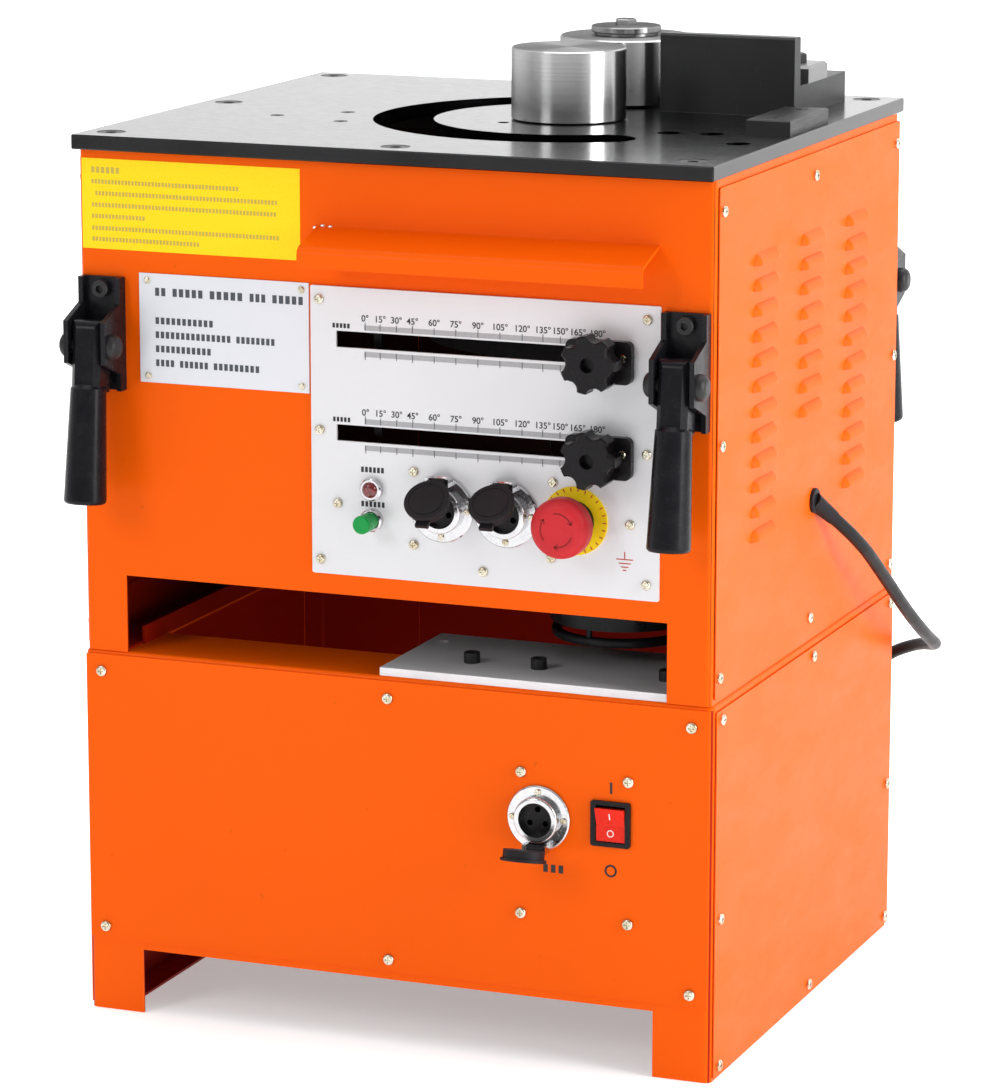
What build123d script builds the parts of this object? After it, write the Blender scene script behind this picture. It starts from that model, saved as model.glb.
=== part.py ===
from build123d import *
import math
import os

# Electric rebar bender standing on its own sheet-steel stand.
# Millimetres, +Z up, +X to the operator's right, +Y to the rear.
# The origin is on the floor under the middle of the machine.

# ---- driving dimensions: heights ----
STAND_H = 282.0
PLATE_TOP = 672.0
PLATE_T = 11.0
PLATE_BOTTOM = PLATE_TOP - PLATE_T

# ---- plan sizes ----
PLATE_W, PLATE_D = 500.0, 456.0
CAB_W, BODY_D = 497.0, 437.0
STAND_W = 501.0
SHEET, SKIN = 2.0, 1.5
FRONT = -BODY_D / 2
CAB_SKIN_X = CAB_W / 2 + SKIN
STAND_SKIN_X = STAND_W / 2 + SKIN
STAND_FACE = FRONT - SKIN
LEG_W, LEG_H = 44.5, 50.0
WINDOW_TOP, WINDOW_HALF = 341.0, 215.0

# ---- control panel ----
PANEL_X0, PANEL_X1, PANEL_Z0, PANEL_Z1 = -61.5, 209.0, 356.4, 570.0
PANEL_FACE = FRONT - SHEET
SLOT_X0, SLOT_X1, SLOT_H = -41.3, 184.0, 12.1
SLOT_Z = {"upper": 531.6, "lower": 462.5}
SLIDER_X = 164.5
SLIDER_DROP, KNOB_DROP, STUD_R = 3.0, 2.0, 3.0
LAMP_AT, BUTTON_AT = (-13.0, 422.5), (-13.0, 399.5)
PANEL_SOCKETS = [(42.1, 411.5), (92.3, 411.5)]
ESTOP_AT = (145.0, 411.0)
STAND_SOCKET = (117.6, 187.5)
ROCKER_AT = (173.6, 188.5)

# ---- bending gear ----
SPINDLE_X = 55.0
ORBIT_R = 125.0
SLOT_W = 46.0
SLOT_START, SLOT_END = 84.0, 303.0
CENTRE_ROLLER_R, BEND_ROLLER_R = 43.5, 51.5
PIN_R = 20.0
RUNNING_GAP = 0.05
GEAR_MODULE, GEAR_TEETH, PINION_TEETH = 3.0, 60, 12
MOTOR_MODULE, LAY_TEETH, MOTOR_TEETH = 2.0, 60, 12
MOTOR_X, MOTOR_Y = 140.0, -105.0
CASE_BOTTOM, CASE_TOP = 506.0, 614.0

# ---- handles ----
HANDLE_X = 229.0
BRACKET_Z, BRACKET_H, BRACKET_W, BRACKET_T = 482.5, 84.5, 34.0, 3.5
PIVOT_OUT, PIVOT_UP = 24.0, 35.5
REAR_LIFT = 7.0
GRIP_TILT = 6.0

# ---- cord ----
CORD_R = 5.0
BOOT_AT = Vector(CAB_SKIN_X, 9.5, 390.5)
BOOT_DIR = Vector(0.40, 0.68, -0.61).normalized()
BOOT_LENGTH = 26.0
COIL_CENTRE = (40.0, 304.0)
COIL_R, COIL_BAND, COIL_H = 55.0, 22.0, 21.0
COIL_ENTRY_ANGLE = 60.0


def block(x0, x1, y0, y1, z0, z1):
    """Box between two opposite corners."""
    return Pos((x0 + x1) / 2, (y0 + y1) / 2, (z0 + z1) / 2) * Box(x1 - x0, y1 - y0, z1 - z0)


def rod(start, direction, radius, length):
    """Cylinder that starts at a point and runs along a direction."""
    seat = Plane(origin=start, z_dir=direction)
    return seat * Cylinder(radius, length, align=(Align.CENTER, Align.CENTER, Align.MIN))


def rod_y(x, z, radius, y0, y1):
    return rod((x, y0, z), (0, 1, 0), radius, y1 - y0)


def rod_z(x, y, radius, z0, z1):
    return rod((x, y, z0), (0, 0, 1), radius, z1 - z0)


def rounded_tube(width, depth, z0, z1, wall, corner):
    """Upright sheet-metal box section, open at both ends."""
    outer = extrude(Pos(0, 0, z0) * RectangleRounded(width, depth, corner), z1 - z0)
    core = RectangleRounded(width - 2 * wall, depth - 2 * wall, corner - wall + 0.5)
    return outer - extrude(Pos(0, 0, z0 - 1) * core, z1 - z0 + 2)


def screw(head_r, head_h, shank_r, shank_l):
    """Pan-head cross-recess screw along +Z, head base at the origin."""
    head = Cylinder(head_r, head_h, align=(Align.CENTER, Align.CENTER, Align.MIN))
    head = fillet(head.edges().group_by(Axis.Z)[-1], head_h * 0.55)
    arm, width = head_r * 1.15, head_r * 0.24
    recess = Box(arm, width, head_h) + Box(width, arm, head_h)
    shank = Pos(0, 0, -shank_l / 2) * Cylinder(shank_r, shank_l)
    return head - Pos(0, 0, head_h) * recess + shank


def cap_screw(head_r, head_h, shank_r, shank_l, hexagon):
    """Hexagon-socket cap screw along +Z, head base at the origin."""
    head = Cylinder(head_r, head_h, align=(Align.CENTER, Align.CENTER, Align.MIN))
    head = chamfer(head.edges().group_by(Axis.Z)[-1], 0.6)
    key = extrude(Pos(0, 0, head_h * 0.4) * RegularPolygon(hexagon / 2, 6, False), head_h)
    return head - key + Pos(0, 0, -shank_l / 2) * Cylinder(shank_r, shank_l)


def placed(proto, spots, direction):
    """Copies of a fastener at several points, all pointing one way."""
    return [Plane(origin=spot, z_dir=direction) * proto for spot in spots]


def holes(spots, direction, radius, depth=12.0):
    """Cylinders that pass through a sheet on both sides of each point."""
    back = Vector(*direction).normalized() * (depth / 2)
    return [rod(Vector(*spot) - back, direction, radius, depth) for spot in spots]


# ---- fastener places ----
SKIN_SCREW = dict(head_r=4.2, head_h=2.5, shank_r=2.0, shank_l=7.0)
CAB_SIDE_SPOTS = [(y, z) for z in (301.0, 470.0, 638.0) for y in (-206.0, 3.0, 209.0)
                  if not (y == 3.0 and z == 470.0)]
STAND_SIDE_SPOTS = [(y, z) for z in (10.0, 121.0, 270.0) for y in (-204.0, 8.0, 206.0)
                    if not (y == 8.0 and z == 121.0)]
STAND_FRONT_SPOTS = [(x, z) for z in (66.0, 266.0) for x in (-236.0, -2.0, 235.0)]
STAND_PLATE_SPOTS = [(x, z) for z in (114.0, 221.0) for x in (103.5, 187.0)]
REAR_SPOTS = [(x, z) for x in (-172.0, 0.0, 172.0) for z in (-1.0, 1.0)]
PANEL_EDGE_SPOTS = [(-54.5, 560.0), (-54.5, 463.6), (-54.5, 367.0), (199.5, 560.0), (199.5, 463.0),
                    (199.5, 368.0), (74.0, 367.7)]
PANEL_SPOTS = PANEL_EDGE_SPOTS + [(-40.5, 410.0), (19.6, 437.7), (19.6, 383.5), (187.0, 411.0),
                                  (127.8, 438.0), (126.7, 382.0)]
NAME_X0, NAME_X1, NAME_Z0, NAME_Z1 = -200.0, -63.3, 489.5, 571.0
RIVET_SPOTS = [(x, z) for x in (-193.3, -69.0) for z in (494.5, 565.8)]
PLATE_EDGE_SPOTS = [(-229, -203), (-229, 2), (-229, 206), (0, -206), (0, 206), (226, -203), (226, 206)]
POST_SCREW_SPOTS = [(-158.0, -63.0), (-116.0, -25.0), (-98.0, -80.0)]
POST_BLIND_SPOTS = [(-62.0, 132.0), (165.0, 140.0), (200.0, 12.0)]
FREE_HOLES = [(155.0, -56.0), (187.0, -51.0), (224.0, -99.0)]
FREE_HOLE_R = 9.0
STOP_SPOTS = [(227.5, -26.0), (227.5, 31.0)]
CLAMP_SPOTS = [(146.0, 124.0), (192.0, 124.0)]
BASE_SPOTS = [(47.0, -176.0), (100.0, -176.0), (200.0, -176.0)]
BASE_TOP = STAND_H + 6.0
REAR_PANEL_HALF = 180.0
CAB_REAR_Z = (350.0, 600.0)
STAND_REAR_Z = (92.0, 256.0)


def rear_spots(z_range):
    return [(x, BODY_D / 2 + SKIN, z_range[0] if side < 0 else z_range[1]) for x, side in REAR_SPOTS]


def front_spots(spots, face):
    return [(x, face, z) for x, z in spots]


def side_spots(spots, half_width, sign):
    return [(sign * half_width, y, z) for y, z in spots]


# ---- stand ----
def make_stand_frame():
    """Folded and welded sheet frame: walls, top flange, floor flanges and two pairs of legs."""
    outer = extrude(RectangleRounded(STAND_W, BODY_D, 5), STAND_H)
    outer = fillet(outer.faces().sort_by(Axis.Z)[-1].edges(), 3)
    core = RectangleRounded(STAND_W - 2 * SHEET, BODY_D - 2 * SHEET, 3.5)
    frame = outer - extrude(Pos(0, 0, -1) * core, STAND_H - SHEET + 1)
    inner_x = STAND_W / 2 - SHEET
    for sign in (-1, 1):
        edges = sorted((sign * inner_x, sign * (inner_x - 25)))
        frame += block(*edges, FRONT + SHEET, -FRONT - SHEET, 0, SHEET)
    leg_x = STAND_W / 2 - LEG_W
    cuts = [
        block(-215, 215, -150, 188, STAND_H - 5, STAND_H + 5),
        block(-leg_x, leg_x, FRONT - 5, -FRONT + 5, -1, LEG_H),
        block(-160, 160, -FRONT - 5, -FRONT + 5, 106, 242),
        block(-STAND_W, STAND_W, -185, 185, 30, 250),
    ]
    frame -= cuts
    drills = holes(front_spots(STAND_FRONT_SPOTS + STAND_PLATE_SPOTS, FRONT), (0, 1, 0), SKIN_SCREW["shank_r"])
    drills += socket_drills([STAND_SOCKET], STAND_FACE, -1)
    drills.append(rocker_cutout())
    drills += holes([(x, y, STAND_H) for x, y in BASE_SPOTS], (0, 0, 1), 4.0, 6)
    drills += holes(rear_spots(STAND_REAR_Z), (0, 1, 0), SKIN_SCREW["shank_r"])
    for sign in (-1, 1):
        drills += holes(side_spots(STAND_SIDE_SPOTS, STAND_W / 2, sign), (1, 0, 0), SKIN_SCREW["shank_r"])
    return frame - drills


def rocker_cutout():
    x, z = ROCKER_AT
    return block(x - 13.5, x + 13.5, FRONT - 5, FRONT + 5, z - 15, z + 15)


def make_stand_front_panel():
    panel = block(-STAND_W / 2 + 2, STAND_W / 2 - 2, STAND_FACE, FRONT, 57, 279)
    panel = fillet(panel.edges().filter_by(Axis.Y), 2)
    cuts = holes(front_spots(STAND_FRONT_SPOTS + STAND_PLATE_SPOTS, FRONT), (0, 1, 0), SKIN_SCREW["shank_r"])
    cuts += socket_drills([STAND_SOCKET], STAND_FACE, -1)
    return panel - cuts - rocker_cutout()


def make_rear_panel(z_range):
    panel = block(-REAR_PANEL_HALF, REAR_PANEL_HALF, -FRONT, -FRONT + SKIN, z_range[0] - 8, z_range[1] + 8)
    panel = fillet(panel.edges().filter_by(Axis.Y), 4)
    return panel - holes(rear_spots(z_range), (0, 1, 0), SKIN_SCREW["shank_r"])


def make_stand_side_panel(sign):
    inner = STAND_W / 2
    edges = sorted((sign * inner, sign * STAND_SKIN_X))
    panel = block(*edges, FRONT + 4.5, -FRONT - 3, 3, 277)
    return panel - holes(side_spots(STAND_SIDE_SPOTS, inner, sign), (1, 0, 0), SKIN_SCREW["shank_r"])


# ---- upper cabinet ----
def make_cabinet_frame():
    """Front, rear and side rails of the upper cabinet, open below and above."""
    frame = rounded_tube(CAB_W, BODY_D, STAND_H, PLATE_BOTTOM, SHEET, 4)
    inner_x = CAB_W / 2 - SHEET
    for sign in (-1, 1):
        shelf = sorted((sign * inner_x, sign * (inner_x - 30)))
        lip = sorted((sign * (inner_x - 30), sign * (inner_x - 32)))
        frame += block(*shelf, FRONT + SHEET, -FRONT - SHEET, STAND_H, STAND_H + SHEET)
        frame += block(*lip, -190, 190, STAND_H, STAND_H + 14)
    cuts = [
        block(-WINDOW_HALF, WINDOW_HALF, FRONT - 5, FRONT + 5, STAND_H - 1, WINDOW_TOP),
        block(-48, 193, FRONT - 5, FRONT + 5, 373, 554),
        block(-CAB_W, CAB_W, -190, 190, 318, 628),
        block(-160, 160, -FRONT - 5, -FRONT + 5, 366, 584),
        block(-CAB_W / 2 - 1, -CAB_W / 2 + 4, -200, -178, 292, 311),
    ]
    frame -= cuts
    drills = holes(front_spots(PANEL_EDGE_SPOTS, FRONT), (0, 1, 0), 1.6)
    drills += holes(front_spots(RIVET_SPOTS, FRONT), (0, 1, 0), 1.4)
    drills += holes(rear_spots(CAB_REAR_Z), (0, 1, 0), SKIN_SCREW["shank_r"])
    drills += [rod_y(x, z, 4.0, FRONT - 5, FRONT + 5) for x, z in bracket_bolt_spots()]
    drills += [rod_y(x, z, 4.0, -FRONT - 5, -FRONT + 5) for x, z in bracket_bolt_spots(REAR_LIFT)]
    for sign in (-1, 1):
        drills += holes(side_spots(CAB_SIDE_SPOTS, CAB_W / 2, sign), (1, 0, 0), SKIN_SCREW["shank_r"])
    return frame - drills


def make_louvre():
    """One pressed louvre along Y: a hood open on its lower edge, standing out along +X."""
    radius, wall, sunk, length = 10.0, 1.4, 5.5, 38.0

    def capsule(r):
        body = rod((0, -length / 2, 0), (0, 1, 0), r, length)
        return body + Pos(0, length / 2, 0) * Sphere(r) + Pos(0, -length / 2, 0) * Sphere(r)

    hood = Pos(-sunk, 0, 0) * (capsule(radius) - capsule(radius - wall))
    reach = length + 2 * radius
    return hood & block(-SKIN, radius, -reach, reach, 0, radius + 1)


LOUVRE_COLUMNS = [(-111.0, 12), (-2.5, 8), (107.5, 12)]
LOUVRE_TOP, LOUVRE_PITCH = 589.5, 18.45


def make_cabinet_side(sign):
    """Removable side panel with three columns of louvres."""
    panel = block(CAB_W / 2, CAB_SKIN_X, FRONT + 5.5, -FRONT - 0.5, 286, 655)
    panel = fillet(panel.edges().filter_by(Axis.X), 2)
    hood = make_louvre()
    spots = [(y, LOUVRE_TOP - row * LOUVRE_PITCH) for y, rows in LOUVRE_COLUMNS for row in range(rows)]
    vents = [block(CAB_W / 2 - 1, CAB_SKIN_X + 1, y - 25, y + 25, z, z + 6) for y, z in spots]
    panel = panel - vents + [Pos(CAB_SKIN_X, y, z) * hood for y, z in spots]
    if sign > 0:
        panel -= rod((CAB_W / 2 - 2, BOOT_AT.Y, BOOT_AT.Z), (1, 0, 0), 7.0, 6.0)
    panel -= holes(side_spots(CAB_SIDE_SPOTS, CAB_W / 2, 1), (1, 0, 0), SKIN_SCREW["shank_r"])
    return panel if sign > 0 else mirror(panel, Plane.YZ)


def make_visor():
    """Folded sheet hood over the control panel."""
    out = 36.0
    path = FilletPolyline(
        (0, FRONT, 613), (0, FRONT - out, 601.5), (0, FRONT - out, 587.5), radius=[7.0]
    )
    back = FilletPolyline(
        (0, FRONT, 611), (0, FRONT - out + 1.6, 600), (0, FRONT - out + 1.6, 587.5), radius=[5.5]
    )
    ends = [Line(path @ 0, back @ 0), Line(path @ 1, back @ 1)]
    profile = make_face(Wire([*path.edges(), ends[1], *back.edges(), ends[0]]).edges())
    return Pos(-57, 0, 0) * extrude(profile, 264, dir=(1, 0, 0))


def make_top_frame():
    """Angle-iron ring under the work plate."""
    half_w, half_d = CAB_W / 2 - SHEET, BODY_D / 2 - SHEET
    drop, width, thick = 30.0, 30.0, 4.0
    outer = block(-half_w, half_w, -half_d, half_d, PLATE_BOTTOM - drop, PLATE_BOTTOM)
    under = block(-half_w + thick, half_w - thick, -half_d + thick, half_d - thick,
                  PLATE_BOTTOM - drop - 1, PLATE_BOTTOM - thick)
    middle = block(-half_w + width, half_w - width, -half_d + width, half_d - width,
                   PLATE_BOTTOM - drop, PLATE_BOTTOM + 1)
    ring = fillet((outer).edges().filter_by(Axis.Z), 3) - under - middle
    spots = [(x, y, PLATE_BOTTOM) for x, y in PLATE_EDGE_SPOTS]
    ring -= holes(spots, (0, 0, 1), 6.0)
    side = [(sign * half_w, y, z) for sign in (-1, 1) for y, z in CAB_SIDE_SPOTS if z > 630]
    return ring - holes(side, (1, 0, 0), SKIN_SCREW["shank_r"], 14)


# ---- control panel and its fittings ----
def socket_screws(centres, face, hinge_sign):
    """Places of the three small screws of each socket flange."""
    around = ((-20, 0), (20, 0), (0, -20 * hinge_sign))
    return [(x + dx, face, z + dz) for x, z in centres for dx, dz in around]


def socket_drills(centres, face, hinge_sign):
    drills = [rod_y(x, z, 15.0, face - 5, face + 8) for x, z in centres]
    return drills + holes(socket_screws(centres, face, hinge_sign), (0, 1, 0), 1.2)


def make_control_panel():
    panel = block(PANEL_X0, PANEL_X1, PANEL_FACE, FRONT, PANEL_Z0, PANEL_Z1)
    panel = fillet(panel.edges().filter_by(Axis.Y), 1.5)
    slots = [block(SLOT_X0, SLOT_X1, FRONT - 5, FRONT + 2, z - SLOT_H / 2, z + SLOT_H / 2)
             for z in SLOT_Z.values()]
    drills = holes(front_spots(PANEL_SPOTS, FRONT), (0, 1, 0), 1.6)
    drills += [rod_y(x, z, 7.0, FRONT - 5, FRONT + 2) for x, z in (LAMP_AT, BUTTON_AT)]
    drills += socket_drills(PANEL_SOCKETS, PANEL_FACE, 1)
    drills.append(rod_y(*ESTOP_AT, 11.0, FRONT - 5, FRONT + 2))
    return panel - slots - drills


def make_name_plate():
    plate = block(NAME_X0, NAME_X1, FRONT - 1, FRONT, NAME_Z0, NAME_Z1)
    return plate - holes(front_spots(RIVET_SPOTS, FRONT), (0, 1, 0), 1.4)


def make_slider(level):
    """Angle-setting slider: front plate, neck through the slot and clamping block behind."""
    z_slot = SLOT_Z[level]
    z_mid = z_slot - SLIDER_DROP
    front = block(SLIDER_X - 25, SLIDER_X + 25, PANEL_FACE - 6.5, PANEL_FACE - 0.5, z_mid - 15.5, z_mid + 15.5)
    front = fillet(front.edges().filter_by(Axis.Y), 5)
    neck = block(SLIDER_X - 19, SLIDER_X + 19, PANEL_FACE - 1, FRONT + 2, z_slot - 5.5, z_slot + 5.5)
    rear = block(SLIDER_X - 23, SLIDER_X + 23, FRONT + 0.5, FRONT + 10, z_slot - 13, z_slot + 11)
    bore = rod_y(SLIDER_X, z_slot - KNOB_DROP, STUD_R + RUNNING_GAP, PANEL_FACE - 8, FRONT + 12)
    return front + neck + rear - bore


def make_knob(level):
    """Seven-lobed star knob with its clamping stud."""
    z = SLOT_Z[level] - KNOB_DROP
    base = PANEL_FACE - 6.8
    star = rod_y(SLIDER_X, z, 21.0, base - 23, base - 7)
    lobes = 7
    for i in range(lobes):
        angle = 2 * math.pi * (i + 0.5) / lobes
        star -= rod_y(SLIDER_X + 23.5 * math.cos(angle), z + 23.5 * math.sin(angle), 6.8, base - 30, base)
    star = chamfer(star.edges().group_by(Axis.Y)[0], 1.2)
    hub = rod_y(SLIDER_X, z, 11.0, base - 8, base)
    stud = rod_y(SLIDER_X, z, STUD_R, base - 8, FRONT + 9)
    return star - rod_y(SLIDER_X, z, 5.5, base - 24, base - 16) + hub + stud


def make_bezel(centre):
    """Chrome ring with a mounting tube behind the panel."""
    x, z = centre
    ring = chamfer(rod_y(x, z, 8.5, PANEL_FACE - 5.5, PANEL_FACE).edges().group_by(Axis.Y)[0], 1.2)
    return ring + rod_y(x, z, 7.0, PANEL_FACE - 1, -198) - rod_y(x, z, 6.0, PANEL_FACE - 6, -190)


def make_lamp_lens():
    lens = rod_y(*LAMP_AT, 6.0, PANEL_FACE - 8.5, -205)
    return fillet(lens.edges().group_by(Axis.Y)[0], 3.5)


def make_start_button():
    x, z = BUTTON_AT
    cap = fillet(rod_y(x, z, 6.8, PANEL_FACE - 22.5, PANEL_FACE - 9).edges().group_by(Axis.Y)[0], 1.5)
    return cap + rod_y(x, z, 6.0 - RUNNING_GAP, PANEL_FACE - 10, -206)


SOCKET_HINGE_OUT, SOCKET_HINGE_UP = 9.0, 21.5


def make_socket_flange(centre, face, hinge_sign):
    """Chrome round flange with a barrel, two hinge ears and the hinge pin of its cap."""
    x, z = centre
    body = chamfer(rod_y(x, z, 24.5, face - 3, face).edges().group_by(Axis.Y)[0], 1)
    body += fillet(rod_y(x, z, 17.0, face - 9, face - 2).edges().group_by(Axis.Y)[0], 1.5)
    body += rod_y(x, z, 15.0, face - 1, face + 14)
    pin_z = z + hinge_sign * SOCKET_HINGE_UP
    for side in (-1, 1):
        edges = sorted((x + side * 6.3, x + side * 9))
        body += block(*edges, face - SOCKET_HINGE_OUT - 2.5, face - 2, pin_z - 3, pin_z + 3)
    body += rod((x - 9, face - SOCKET_HINGE_OUT, pin_z), (1, 0, 0), 1.5, 18)
    body -= rod_y(x, z, 13.0, face - 20, face + 20)
    return body - holes(socket_screws([centre], face, hinge_sign), (0, 1, 0), 1.2)


def make_socket_insert(centre, face):
    x, z = centre
    core = rod_y(x, z, 13.0, face - 3, face + 14)
    for i in range(3):
        angle = math.radians(90 + 120 * i)
        core -= rod_y(x + 7 * math.cos(angle), z + 7 * math.sin(angle), 2.3, face - 5, face + 6)
    return core


def make_socket_cap(centre, face, hinge_sign, opened, tabbed=True):
    """Rubber flap cap, built shut and then swung open about its hinge."""
    x, z = centre
    pin_y, pin_z = face - SOCKET_HINGE_OUT, z + hinge_sign * SOCKET_HINGE_UP
    brim = rod_y(x, z, 17.0, pin_y - 9.0, pin_y - 6.8)
    brim = fillet(brim.edges().group_by(Axis.Y)[0], 0.8)
    cover = brim + rod_y(x, z, 15.3, pin_y - 7.0, pin_y - 0.5)
    cover -= rod_y(x, z, 13.6, pin_y - 10.0, pin_y - 8.5) - rod_y(x, z, 12.6, pin_y - 10.0, pin_y - 8.5)
    strap = sorted((z + hinge_sign * 14, pin_z))
    cover += block(x - 5.5, x + 5.5, pin_y - 3.0, pin_y - 0.5, *strap)
    cover += rod((x - 5.5, pin_y, pin_z), (1, 0, 0), 3.0, 11)
    if tabbed:
        lip = sorted((z - hinge_sign * 15, z - hinge_sign * 19.5))
        cover += block(x - 5, x + 5, pin_y - 3.5, pin_y - 0.5, *lip)
    cover -= rod((x - 6, pin_y, pin_z), (1, 0, 0), 1.5 + RUNNING_GAP, 12)
    return cover.rotate(Axis((x, pin_y, pin_z), (-hinge_sign, 0, 0)), opened)


def make_estop_disc():
    return rod_y(*ESTOP_AT, 25.0, PANEL_FACE - 1.5, PANEL_FACE) - rod_y(*ESTOP_AT, 11.0, PANEL_FACE - 5, FRONT)


def make_estop_housing():
    x, z = ESTOP_AT
    body = rod_y(x, z, 15.0, PANEL_FACE - 7.5, PANEL_FACE - 1.5) + rod_y(x, z, 11.0, PANEL_FACE - 2, FRONT + 4)
    body += block(x - 17, x + 17, FRONT + 3, FRONT + 40, z - 17, z + 17)
    return body - rod_y(x, z, 6.0 + RUNNING_GAP, PANEL_FACE - 10, FRONT + 34)


def make_estop_plunger():
    x, z = ESTOP_AT
    return rod_y(x, z, 6.0, PANEL_FACE - 27, FRONT + 22) + rod_y(x, z, 9.0, PANEL_FACE - 17, PANEL_FACE - 14)


def make_estop_head():
    x, z = ESTOP_AT
    head = rod_y(x, z, 22.0, PANEL_FACE - 38, PANEL_FACE - 20)
    head = fillet(head.edges().group_by(Axis.Y)[0], 8)
    head = fillet(head.edges().group_by(Axis.Y)[-1], 3)
    head += rod_y(x, z, 14.0, PANEL_FACE - 21, PANEL_FACE - 17.1)
    return head - rod_y(x, z, 6.0 + RUNNING_GAP, PANEL_FACE - 27.1, PANEL_FACE - 10)


def make_rocker_frame():
    x, z = ROCKER_AT
    bezel = block(x - 15.3, x + 15.3, STAND_FACE - 2.5, STAND_FACE, z - 17, z + 17)
    bezel = fillet(bezel.edges().filter_by(Axis.Y), 2)
    bezel += block(x - 13.5, x + 13.5, STAND_FACE - 1, STAND_FACE + 20, z - 15, z + 15)
    bezel -= block(x - 11.4, x + 11.4, STAND_FACE - 5, STAND_FACE + 17, z - 13.8, z + 13.8)
    for side in (-1, 1):
        edges = sorted((x + side * 11.4, x + side * 8.4))
        bezel += rod((edges[0], STAND_FACE, z), (1, 0, 0), 1.5, 3)
    return bezel


ROCKER_TILT = 9.0


def make_rocker_button():
    """Two-position rocker, resting with its lower half pressed in."""
    x, z = ROCKER_AT
    outline = [(-6, -10), (3.6, -12.8), (1.6, 0), (3.6, 12.8), (-6, 10)]
    points = [(x - 11, STAND_FACE - out, z + up) for out, up in outline]
    body = extrude(make_face(Polyline(*points, close=True)), 22, dir=(1, 0, 0))
    body -= rod((x - 12, STAND_FACE, z), (1, 0, 0), 1.5 + RUNNING_GAP, 24)
    return body.rotate(Axis((x, STAND_FACE, z), (1, 0, 0)), ROCKER_TILT)


# ---- folding handles ----
def bracket_bolt_spots(lift=0.0):
    return [(x, BRACKET_Z + up + lift) for x in (-HANDLE_X, HANDLE_X) for up in (8.0, 75.5)]


def turned(shape, rear):
    """The rear handles are the front ones turned half round the machine, a little higher."""
    return Pos(0, 0, REAR_LIFT) * shape.rotate(Axis.Z, 180) if rear else shape


def make_bracket(x, rear):
    """Folded channel: back plate and two cheeks that stand out around the pivot."""
    half = BRACKET_W / 2
    web = block(x - half, x + half, FRONT - BRACKET_T, FRONT, BRACKET_Z, BRACKET_Z + BRACKET_H)
    outline = [(0, 0), (9.5, 0), (9.5, 13), (35, 23.5), (35, 55), (9.5, 65.5), (9.5, 84.5), (0, 84.5)]
    for start in (x - half, x + half - BRACKET_T):
        points = [(start, FRONT - out, BRACKET_Z + up) for out, up in outline]
        cheek = extrude(make_face(Polyline(*points, close=True)), BRACKET_T, dir=(1, 0, 0))
        web += cheek
    pivot = (x - half - 1, FRONT - PIVOT_OUT, BRACKET_Z + PIVOT_UP)
    web -= rod(pivot, (1, 0, 0), 5.0, BRACKET_W + 2)
    web -= [rod_y(x, z, 4.0, FRONT - 8, FRONT + 2) for _, z in bracket_bolt_spots()]
    return turned(web, rear)


def make_handle_pin(x, rear):
    """Pivot rivet with a domed head outside each cheek."""
    y, z, half = FRONT - PIVOT_OUT, BRACKET_Z + PIVOT_UP, BRACKET_W / 2
    pin = rod((x - half, y, z), (1, 0, 0), 5.0, BRACKET_W)
    for side in (-1, 1):
        dome = rod((x + side * half, y, z), (side, 0, 0), 9.7, 6.5)
        rim = dome.edges().group_by(Axis.X)[-1 if side > 0 else 0]
        pin += fillet(rim, 5.5)
    return turned(pin, rear)


def make_grip(x, rear):
    """Handle: flat tang around the pivot, running into a round tapered grip."""
    y, z = FRONT - PIVOT_OUT, BRACKET_Z + PIVOT_UP
    axis_y = FRONT - 26.0
    tang = block(x - 11.5, x + 11.5, y - 10.5, y + 9.5, z - 34, z + 19.5)
    tang = fillet(tang.edges().filter_by(Axis.X).group_by(Axis.Z)[-1], 7)
    section = [(-7.5, -10.5), (7.5, -10.5), (11.5, -6.5), (11.5, 9.5), (-11.5, 9.5), (-11.5, -6.5)]
    outline = Polyline(*[(x + dx, y + dy, z - 40) for dx, dy in section], close=True)
    tang = tang & extrude(make_face(outline), 70, dir=(0, 0, 1))
    shoulder = Plane(origin=(x, axis_y, z - 28), z_dir=(0, 0, -1))
    grip = shoulder * Cone(13.2, 16.0, 89, align=(Align.CENTER, Align.CENTER, Align.MIN))
    grip = fillet(grip.faces().sort_by(Axis.Z)[0].edges(), 3)
    grip = chamfer(grip.faces().sort_by(Axis.Z)[-1].edges(), 3)
    body = tang + grip - rod((x - 14, y, z), (1, 0, 0), 5.0 + RUNNING_GAP, 28)
    return turned(body.rotate(Axis((x, y, z), (-1, 0, 0)), GRIP_TILT), rear)


# ---- work plate and what stands on it ----
def countersunk(x, y, head_r, shank_r, z0):
    """Space of a countersunk screw whose top is just under the plate's face."""
    top = PLATE_TOP - 0.3
    sink = head_r - shank_r
    cone = Pos(x, y, top - sink / 2) * Cone(shank_r, head_r, sink)
    return cone + rod_z(x, y, shank_r, z0, top - sink + 0.1)


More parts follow.
